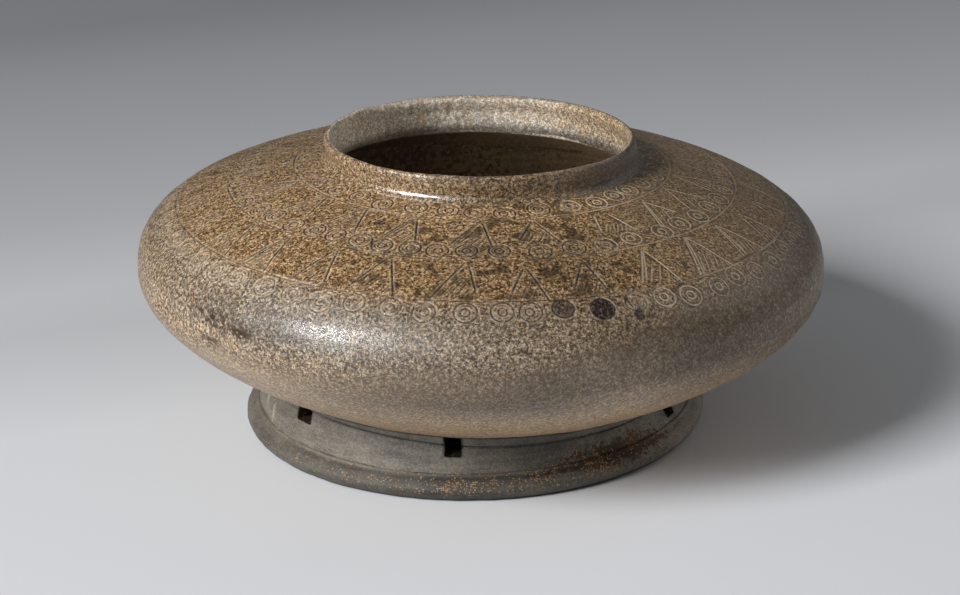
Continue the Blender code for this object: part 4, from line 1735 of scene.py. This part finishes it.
@dataclass(frozen=True)
class Bowl:
    """The conical lower wall, the coil in its seam and the disc that closes it.

    Attributes:
        wall: Thickness of the clay.
        seam: Radius and height of the seam's inner edge.
        joint_height: Height of the joint with the base disc.
        disc_thickness: Thickness of the base disc.
        rib: Depth of the finger ribs inside.
        rib_pitch: Distance from rib to rib.
        steps: Steps round a full turn of the wall.
        tone_and_painted_light_inside: Painted light of the inside round the jar, lightest at the back
            right, where the key light reaches in.
    """

    wall: float = 6.0 * MM
    seam: tuple[float, float] = (94.0 * MM, 3.5 * MM)
    joint_height: float = -34.1 * MM
    disc_thickness: float = 4.5 * MM
    rib: float = 0.28 * MM
    rib_pitch: float = 3.4 * MM
    steps: int = 840
    # Painted light with the glaze's own tone: the inside is made several times lighter, most at the back
    # right, where the key light reaches in.
    tone_and_painted_light_inside: Pairs = (
        *((-178.0, 3.0), (-165.0, 0.8), (60.0, 2.0), (120.0, 4.8), (170.0, 4.4)),
    )

    def _wall(self) -> Skin:
        """Turns the conical wall.

        Returns:
            Its skin.
        """
        outer = BOWL_CURVE.points(BASE_RADIUS, BODY_RADIUS, 1.25 * MM)[::-1]
        outer = [point for point in outer if point.height > self.joint_height]
        inner = [beneath(point, self.wall, Tread.SKIN) for point in outer]
        inner = [point for point in inner if point.height > self.joint_height + 0.6 * MM]
        floor = hidden(inner[-1].radius - 0.9 * MM, self.joint_height)
        return Skin(
            "bowl_wall",
            outer + [floor] + inner[::-1] + [hidden(*self.seam), hidden(98.6 * MM, -0.7 * MM)],
            self.steps,
        )

    def _disc(self) -> Skin:
        """Turns the base disc.

        Returns:
            Its skin.
        """
        top, bottom = self.joint_height + 0.1 * MM, self.joint_height - self.disc_thickness
        face, under = (
            [ProfilePoint(r * MM, height, 0.0, up, r * MM, Tread.SKIN) for r in radii]
            for height, up, radii in (
                (top, 1.0, np.linspace(0.0, 50.0, 64)),
                (bottom, -1.0, np.linspace(43.6, 0.0, 40)),
            )
        )
        rim = [hidden(54.4 * MM, top), hidden(49.6 * MM, bottom + 2.2 * MM)]
        return Skin("base_disc_thrown", face + rim + under, 360, closed=False)

    def _coil(self) -> Skin:
        """Turns the coil pressed into the seam.

        Returns:
            Its skin.
        """
        corners = [(91.3, 9.9), (92.3, 7.6), (92.9, 5.2), (93.1, 2.6), (92.9, -1.2)]
        outline = smooth_profile(in_metres(corners), 0.8 * MM)[::-1]
        return Skin("seam_coil", outline + [hidden(94.2 * MM, 3.5 * MM)], 480)

    def build(self) -> list[Skin]:
        """Turns the bowl's members.

        Returns:
            The members' skins.
        """
        wall, disc, coil = self._wall(), self._disc(), self._coil()
        inside = wall.out < 0
        stray = waves(wall.azimuth, 41, 5) * 0.8
        ribs = self.rib * np.sin(wall.place[:, 2] / self.rib_pitch * math.tau + stray)
        seamed = smoothstep(wall.place[:, 2], -0.2 * MM, -3.0 * MM)
        outer = hand_relief(wall, 0.045 * MM) * seamed
        wall.raise_by(np.where(inside, ribs + hand_relief(wall), outer))
        turn = np.radians(disc.azimuth)
        spiral = 0.3 * MM * np.sin(disc.radius / (4.2 * MM) * math.tau + turn)
        disc.raise_by(spiral * smoothstep(disc.radius, 1 * MM, 8 * MM) + 0.5 * hand_relief(disc))
        coil.raise_by(0.3 * MM * lattice_noise(coil.place, 6 * MM, 43))
        return [wall, disc, coil]

    def dress(
        self, skins: list[Skin], glaze: bpy.types.Material, clay: bpy.types.Material
    ) -> None:
        """Lays the glaze and clay on the bowl's members and puts them in the scene.

        Args:
            skins: The members' skins.
            glaze: The glaze.
            clay: The bare clay.
        """
        wall, disc, coil = skins
        inside = wall.out < 0
        maroon = MAROON_SIDE.at(wall.azimuth)
        # Inside, the field light is painted light.
        within = {
            "grain": 0.6,
            "blue": 0.8 * (1.0 - maroon),
            "rust": 0.5 * maroon,
            "light": around(wall.azimuth, self.tone_and_painted_light_inside),
        }
        outside = BELLY.fields(wall) | {"gloss": BELLY.sheen(wall)}
        for name, value in outside.items():
            wall.tones(**{name: np.where(inside, within.get(name, 0.0), value)})
        wall.tones(line=0.0, edge=0.0, bright=0.0, pool=0.7 * maroon * inside)
        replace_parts(wall.finish(LEAN, glaze), "lower_bowl")
        for skin, node in ((disc, "base_disc"), (coil, "belly_seam_coil")):
            maroon = MAROON_SIDE.at(skin.azimuth)
            # The coil and disc inside: painted light, several times the clay's own tone.
            light = (3.0 - 1.2 * maroon) * around(skin.azimuth, INSIDE_PAINTED_LIGHT)
            skin.tones(ash=0.05, rust=0.2 + 0.6 * maroon, light=light)
            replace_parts(skin.finish(LEAN, clay), node)


@dataclass(frozen=True)
class Window:
    """A window cut through the foot ring's wall.

    Attributes:
        azimuth: Its middle's azimuth.
        width: Its width at the outside.
        height: Its height under the bowl.
        light: How light its cut faces are: painted shade inside the window.
        buried: How far its cutter reaches up into the bowl.
    """

    azimuth: float
    width: float = 4.7 * MM
    height: float = 5.2 * MM
    light: float = 0.3
    buried: float = 1.5 * MM


@dataclass(frozen=True)
class Foot:
    """The foot ring with its windows, its rolled toe and the luting band over it.

    Attributes:
        top_radius: The wall's outer radius under the bowl.
        top: The height that its top is drawn at, before it is pressed to the bowl.
        shoulder_radius: Its outer radius over the toe.
        top_thickness: The wall's thickness under the bowl.
        tread: Inner and outer radius of the ring's tread.
        toe_height: Height of the toe's ridge.
        toe: Radius and height of the toe's corners, in millimetres.
        band: Radius and height under the bowl of the luting band's corners.
        windows: The windows.
        tone_and_painted_light_round: Painted light and shade of the wall round the foot, with the clay's
            own tone.
        tone_and_painted_light_toe: Painted light and shade of the toe round the foot, with the clay's
            own tone.
        steps: Steps round a full turn.
        streaks: Azimuth, height, width and spread of cream runs, in millimetres.
        front: Where ash has fallen on the toe.
        right: Where ash and rust lie on the wall.
        rusty_side: Where rust lies on all of the foot.
        spot_side: Where a dark spot lies over the toe.
        ridge_ash_and_highlight_side: Where the toe's ridge has ash, cream and a painted highlight.
        band_side: Where the luting band is tallest.
    """

    top_radius: float = 60.8 * MM
    top: float = 15.0 * MM
    shoulder_radius: float = 64.0 * MM
    top_thickness: float = 4.3 * MM
    tread: tuple[float, float] = (58.8 * MM, 62.7 * MM)
    toe_height: float = 7.0 * MM
    toe: Pairs = (
        *((63.6, 7.25), (64.5, 7.15), (65.2, 6.35), (66.5, 5.35), (67.6, 4.1)),
        *((67.9, 2.9), (67.4, 1.5), (66.4, 0.45), (65.4, 0.0)),
    )
    band: Pairs = (
        *((63.2, 0.4), (62.75, -0.25), (62.5, -0.9), (62.3, -1.6), (61.95, -2.2)),
        *((61.3, -2.62), (60.4, -2.7)),
    )
    windows: tuple[Window, ...] = (
        *(Window(-52.0, 6.2 * MM), Window(-6.0, light=0.2), Window(63.0)),
        *(Window(124.0), Window(185.0), Window(246.0)),
    )
    tone_and_painted_light_round: Pairs = (
        *((-90.0, 0.9), (-30.0, 0.88), (-5.0, 0.86), (15.0, 0.48), (35.0, 0.86)),
        *((60.0, 1.6), (90.0, 1.0)),
    )
    tone_and_painted_light_toe: Pairs = (
        *((-90.0, 0.74), (-45.0, 0.58), (-25.0, 0.42), (-5.0, 0.31), (40.0, 0.7), (60.0, 1.7)),
    )
    steps: int = 720
    streaks: tuple[tuple[float, float, float, float], ...] = (
        *((-75.0, 12.6, 1.0, 2.6), (-68.0, 10.2, 0.7, 2.4)),
    )
    front: Facing = Facing(6.0, 46.0)
    right: Facing = Facing(36.0, 20.0)
    rusty_side: Facing = Facing(42.0, 22.0)
    spot_side: Facing = Facing(36.0, 4.0)
    ridge_ash_and_highlight_side: Facing = Facing(-25.0, 42.0)
    band_side: Facing = Facing(4.0, 44.0)

    def _ring(self) -> Skin:
        """Turns the ring, its top pressed to the bowl's underside.

        Returns:
            Its skin.
        """
        top, low = self.top + 0.4 * MM, self.toe_height
        inner, outer = self.tread
        wall = [(self.top_radius, top), (self.top_radius + 0.7 * MM, 12.6 * MM)]
        wall += [(self.top_radius + 1.9 * MM, 9.6 * MM), (self.shoulder_radius, low - 0.2 * MM)]
        back = [(inner, 0.2 * MM), (inner - 0.9 * MM, 6.0 * MM)]
        back += [(self.top_radius - self.top_thickness, top)]
        buried = [hidden(outer, low - 1.0 * MM), hidden(outer, 0.0), hidden(inner, 0.0)]
        outline = smooth_profile(wall, 0.42 * MM) + buried + smooth_profile(back, 1.0 * MM)
        skin = Skin("foot_ring_thrown", outline, self.steps)
        height = skin.place[:, 2]
        share = np.clip((height - low) / (self.top - low), 0.0, 2.0)
        pressed = low + share * (underside(skin.place) - low)
        skin.place[:, 2] = np.where(height > low, pressed, height)
        return skin

    def _toe(self) -> Skin:
        """Turns the rolled toe."""
        back = [hidden(63.1 * MM, 0.0), hidden(62.9 * MM, 6.6 * MM)]
        return Skin("toe_roll", smooth_profile(in_metres(self.toe), 0.33 * MM) + back, self.steps)

    def _band(self) -> Skin:
        """Turns the luting band between two wavy tool lines.

        Returns:
            Its skin.
        """
        outline = smooth_profile(in_metres(self.band), 0.24 * MM)[::-1]
        buried = [hidden(59.6 * MM, -2.4 * MM), hidden(59.6 * MM, 0.9 * MM)]
        return Skin("luting_band", outline + buried, self.steps)

    def build(self) -> list[Skin]:
        """Turns the foot's members and gives them their unevenness.

        Returns:
            The members' skins.
        """
        ring, toe, band = self._ring(), self._toe(), self._band()
        ring.raise_by(0.8 * hand_relief(ring, 0.05 * MM))
        wander = 0.16 * MM * waves(toe.azimuth, 51, 7) * smoothstep(toe.place[:, 2], 4 * MM, 7 * MM)
        rough = 0.12 * MM * lattice_noise(toe.place, 3.2 * MM, 52)
        toe.raise_by(np.where(toe.place[:, 2] > 0.3 * MM, rough, 0.0))
        toe.place[:, 2] += wander
        tall = band.place[:, 2] * self._band_size(band.azimuth)
        band.place[:, 2] = underside(band.place) + tall
        band.raise_by(0.08 * MM * lattice_noise(band.place, 3.0 * MM, 54))
        return [ring, toe, band]

    def _band_size(self, azimuth: Array) -> Array:
        """Returns how tall the luting band is round the foot, as a share of its drawn height."""
        return 0.36 + 0.64 * self.band_side.at(azimuth) + 0.06 * waves(azimuth, 53, 8)

    def _cutter(self, window: Window, number: int) -> bpy.types.Object:
        """Makes the rough prism that cuts one window.

        Args:
            window: The window.
            number: Its number.

        Returns:
            The prism.
        """
        chance = np.random.default_rng(60 + number)
        outward = direction(window.azimuth)
        wall = outward * self.top_radius
        top = float(underside(np.array([wall]))[0])
        form = bmesh.new()
        bmesh.ops.create_cube(form, size=1.0)
        across = [edge for edge in form.edges if abs((edge.verts[0].co - edge.verts[1].co).x) > 0.5]
        size = (16 * MM, window.width, window.height + 2 * window.buried)
        bmesh.ops.scale(form, vec=size, verts=form.verts)
        kind = {"affect": "EDGES", "segments": 3, "profile": 0.5, "material": -1}
        bmesh.ops.bevel(form, geom=across, offset=0.55 * MM, **kind)
        bmesh.ops.subdivide_edges(form, edges=form.edges, cuts=7, use_grid_fill=True)
        for vertex in form.verts:
            vertex.co.y += chance.uniform(-0.2, 0.2) * MM
            vertex.co.z += chance.uniform(-0.12, 0.12) * MM
        turn = Matrix.Rotation(math.atan2(outward.y, outward.x), 4, "Z")
        level = top - window.height / 2 + window.buried
        middle = Matrix.Translation(wall + Vector((0, 0, level)))
        bmesh.ops.transform(form, matrix=FOOT_PLACE @ middle @ turn, verts=form.verts)
        bmesh.ops.recalc_face_normals(form, faces=form.faces)
        # The cut faces carry their window's light, painted shade inside the window, with rust and ash.
        for name, value in (("light", window.light), ("rust", 0.95), ("ash", 0.4)):
            layer = form.verts.layers.float.new(name)
            for vertex in form.verts:
                vertex[layer] = value
        name = f"window_cutter_{number}"
        return placed(name, mesh_of(form, name))

    def _pierce(self, piece: bpy.types.Object) -> None:
        """Cuts the windows out of a piece.

        Args:
            piece: The piece.
        """
        cutters = [self._cutter(window, number) for number, window in enumerate(self.windows)]
        for cutter in cutters:
            cut = piece.modifiers.new(cutter.name, "BOOLEAN")
            cut.operation = "DIFFERENCE"
            cut.solver = "MANIFOLD"
            cut.object = cutter
        graph = bpy.context.evaluated_depsgraph_get()
        cut_mesh = bpy.data.meshes.new_from_object(piece.evaluated_get(graph))
        piece.modifiers.clear()
        piece.data = cut_mesh
        smooth_shaded(cut_mesh, 60.0)
        for cutter in cutters:
            bpy.data.objects.remove(cutter)

    def _from_windows(self, skin: Skin, below: Array) -> Array:
        """Returns how far each vertex is from the nearest window, given its height to the bowl.

        Args:
            skin: A skin of the foot.
            below: Height of each vertex under the bowl.

        Returns:
            The distances.
        """
        near = np.full(len(below), 10 * MM)
        for window in self.windows:
            across = np.abs(np.radians(shortest_turn(skin.azimuth, window.azimuth))) * skin.radius
            across = np.maximum(across - window.width / 2, 0.0)
            above = np.abs(below + window.height / 2) - window.height / 2
            near = np.minimum(near, np.hypot(across, np.maximum(above, 0.0)))
        return near

    def _fields(self, skin: Skin, is_ring: bool, is_toe: bool) -> dict[str, Array]:
        """Returns the fields of the clay on one of the foot's members.

        Args:
            skin: The member's skin.
            is_ring: Whether it is the ring.
            is_toe: Whether it is the toe. The luting band is neither.

        Returns:
            The fields by name.
        """
        azimuth, height = skin.azimuth, skin.place[:, 2]
        below = height - underside(skin.place)
        near = self._from_windows(skin, below)
        front = self.front.at(azimuth)
        right = self.right.at(azimuth) * bump(height - 7.4 * MM, 2.7 * MM)
        # A dark strip under the toe's ridge: painted shade under its overhang, with rust.
        rusty_shaded_strip = bump(height - 6.3 * MM, 0.45 * MM) * is_toe
        speckled = bump(height - 4.5 * MM, 1.7 * MM) * is_toe
        ridge = bump(height - self.toe_height - 0.05 * MM, 0.26 * MM) * is_toe
        ridge = ridge * self.ridge_ash_and_highlight_side.at(azimuth)
        clump = 0.75 + 0.6 * lattice_noise(skin.place, 5.0 * MM, 55)
        crease = bump(below + 2.62 * MM * self._band_size(azimuth), 0.30 * MM) * (not is_toe)
        joint = bump(below + 0.1 * MM, 0.28 * MM) * (not is_toe and not is_ring)
        streaks = np.zeros(len(azimuth))
        for middle, level, width, tall in self.streaks:
            across = shortest_turn(azimuth, middle) * 1.1 * MM + 0.25 * (height - level * MM)
            streaks += bump(across, width * MM) * bump(height - level * MM, tall * MM)
        rust = 1.3 * bump(near, 0.55 * MM) + 0.9 * right + 0.3 * rusty_shaded_strip + 0.7 * crease
        # Painted light and shade with the clay's own tone: the toe darker at the front, where it turns
        # down, the wall right of the front window darker as the belly's painted shadow, the far right
        # lighter.
        light = around(azimuth, self.tone_and_painted_light_toe if is_toe else self.tone_and_painted_light_round)
        # Painted shade in the strip under the ridge at the front, and a painted highlight on the ridge.
        light = light * (1.0 - 0.5 * rusty_shaded_strip * front) * (1.0 + 0.25 * ridge)
        light = light * (1.0 - 0.8 * np.clip(crease + joint, 0.0, 1.0))
        light = light * (1.0 - 0.55 * bump(near, 0.3 * MM))
        # Painted shade on the ring's inner face, under the bowl.
        light = light * np.where(is_ring & (skin.out < -0.2), 0.35, 1.0)
        spot = self.spot_side.at(azimuth) * bump(height - 7.8 * MM, 1.2 * MM)
        # Painted contact shadow on the toe's bottom, where it meets the floor.
        tread = smoothstep(height, 1.5 * MM, 0.3 * MM) * is_toe
        return {
            "ash": 0.05 + (1.45 * speckled * front + 1.5 * right) * clump + 0.5 * ridge,
            "cream": streaks * is_ring + 0.5 * ridge,
            "rust": rust + 0.4 * self.rusty_side.at(azimuth),
            "light": light * (1.0 - 0.85 * spot) * (1.0 - 0.8 * tread),
        }

    def dress(self, skins: list[Skin], clay: bpy.types.Material) -> None:
        """Lays the clay on the foot's members and puts them in the scene.

        Args:
            skins: The members' skins.
            clay: The bare clay.
        """
        ring_skin, toe_skin, _ = skins
        for skin in skins:
            skin.tones(**self._fields(skin, skin is ring_skin, skin is toe_skin))
        ring, toe, band = (skin.finish(FOOT_PLACE, clay) for skin in skins)
        self._pierce(ring)
        self._pierce(band)
        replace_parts(ring, "foot_ring")
        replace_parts(toe, "foot_toe_band")
        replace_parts(band, *(f"foot_luting_bead_{number}" for number in range(1, 7)))


# Studio


@dataclass(frozen=True)
class Studio:
    """The floor, the lights and the camera.

    Attributes:
        key_from: Direction that the key light comes from.
        key_distance: Its distance.
        key_size: Its size.
        key_power: Its power in watts.
        fill: Brightness of the world round the jar.
        side_place: Where the weak side light stands.
        side_size: Its size.
        side_power: Its power in watts.
        focal: The camera's focal length in millimetres.
        camera_place: Where the camera stands.
        pitch: How far it is raised from looking straight down, in degrees.
        roll: How far it is turned about its own line of sight, in degrees.
        shift: How far its frame is moved off its line of sight.
    """

    key_from: tuple[float, float, float] = (-0.65, -0.50, 0.565)
    key_distance: float = 2.4
    key_size: float = 0.86
    key_power: float = 66.0
    fill: float = 0.135
    side_place: tuple[float, float, float] = (1.6, 0.7, 1.0)
    side_size: float = 1.4
    side_power: float = 4.2
    focal: float = 102.75
    camera_place: tuple[float, float, float] = (-0.00263, -0.7568, 0.3207)
    pitch: float = 71.08
    roll: float = -1.32
    shift: tuple[float, float] = (0.0097, -0.0873)

    def floor_material(self) -> bpy.types.Material:
        """Returns the floor's plain material, with painted shade that darkens it towards the back.

        Returns:
            The material.
        """
        r = Recipe("studio_floor")
        split = r.node("SeparateXYZ", {"Vector": r.space()}).outputs
        # Painted falloff of light: the colour darkens towards the back and a little towards the left.
        slant = r.calc("MULTIPLY_ADD", split["X"], -0.37, split["Y"], clamp=False)
        depth = r.mapped(slant, from_min=-0.15, from_max=0.55)
        stops = (
            *((0.0, Color(222, 224, 229)), (0.143, Color(220, 223, 227))),
            *((0.264, Color(219, 222, 226)), (0.386, Color(195, 197, 200))),
            *((0.443, Color(198, 200, 203)), (0.55, Color(180, 182, 186))),
            *((0.694, Color(167, 169, 173)), (0.823, Color(157, 159, 163))),
            (0.956, Color(140, 142, 146)),
        )
        plain = {"Roughness": 0.9, "Specular IOR Level": 0.0}
        return r.surface({"Base Color": r.ramp(depth, stops)} | plain)

    def build(self) -> bpy.types.Object:
        """Lays the floor.

        Returns:
            The floor.
        """
        form = bmesh.new()
        bmesh.ops.create_grid(form, x_segments=1, y_segments=1, size=4.0)
        floor = placed("studio_floor", mesh_of(form, "studio_floor"))
        floor.data.materials.append(self.floor_material())
        return floor

    def _lamp(self, name: str, place: Vector, size: float, power: float) -> None:
        """Hangs a square lamp that faces the jar.

        Args:
            name: Its name.
            place: Where it hangs.
            size: Length of its side.
            power: Its power in watts.
        """
        lamp = bpy.data.lights.new(name, "AREA")
        lamp.energy = power
        lamp.size = size
        holder = placed(name, lamp)
        holder.location = place
        holder.rotation_euler = (-place).to_track_quat("-Z", "Y").to_euler()

    def light(self) -> None:
        """Sets the key light, the side light and the fill."""
        key_place = Vector(self.key_from).normalized() * self.key_distance
        self._lamp("key", key_place, self.key_size, self.key_power)
        self._lamp("side", Vector(self.side_place), self.side_size, self.side_power)
        world = bpy.data.worlds.new("fill")
        world.use_nodes = True
        background = world.node_tree.nodes["Background"]
        background.inputs["Color"].default_value = (self.fill, self.fill, self.fill, 1.0)
        bpy.context.scene.world = world

    def aim(self) -> None:
        """Stands the camera where the jar is seen as it should be."""
        lens = bpy.data.cameras.new("camera")
        lens.lens = self.focal
        lens.shift_x, lens.shift_y = self.shift
        camera = placed("camera", lens)
        camera.matrix_world = (
            Matrix.Translation(self.camera_place)
            @ Matrix.Rotation(math.radians(self.pitch), 4, "X")
            @ Matrix.Rotation(math.radians(self.roll), 4, "Z")
        )
        bpy.context.scene.camera = camera
        bpy.context.scene.view_settings.view_transform = "Standard"


def main() -> None:
    """Builds and dresses the jar, then sets up its studio."""
    logging.basicConfig(level=logging.INFO, format="%(message)s")
    glaze = AshGlaze().material()
    clay = Stoneware("bare_stoneware", Color(128, 122, 110), Color(92, 86, 78)).material()
    inner_clay = Stoneware("inner_stoneware", Color(122, 112, 96), Color(92, 82, 68)).material()
    shoulder, neck, bowl, foot = Shoulder(), Neck(), Bowl(), Foot()
    shoulder.dress(shoulder.build(), glaze)
    neck.dress(neck.build(), glaze)
    bowl.dress(bowl.build(), glaze, inner_clay)
    foot.dress(foot.build(), clay)
    studio = Studio()
    studio.build()
    studio.light()
    studio.aim()


if __name__ == "__main__":
    main()
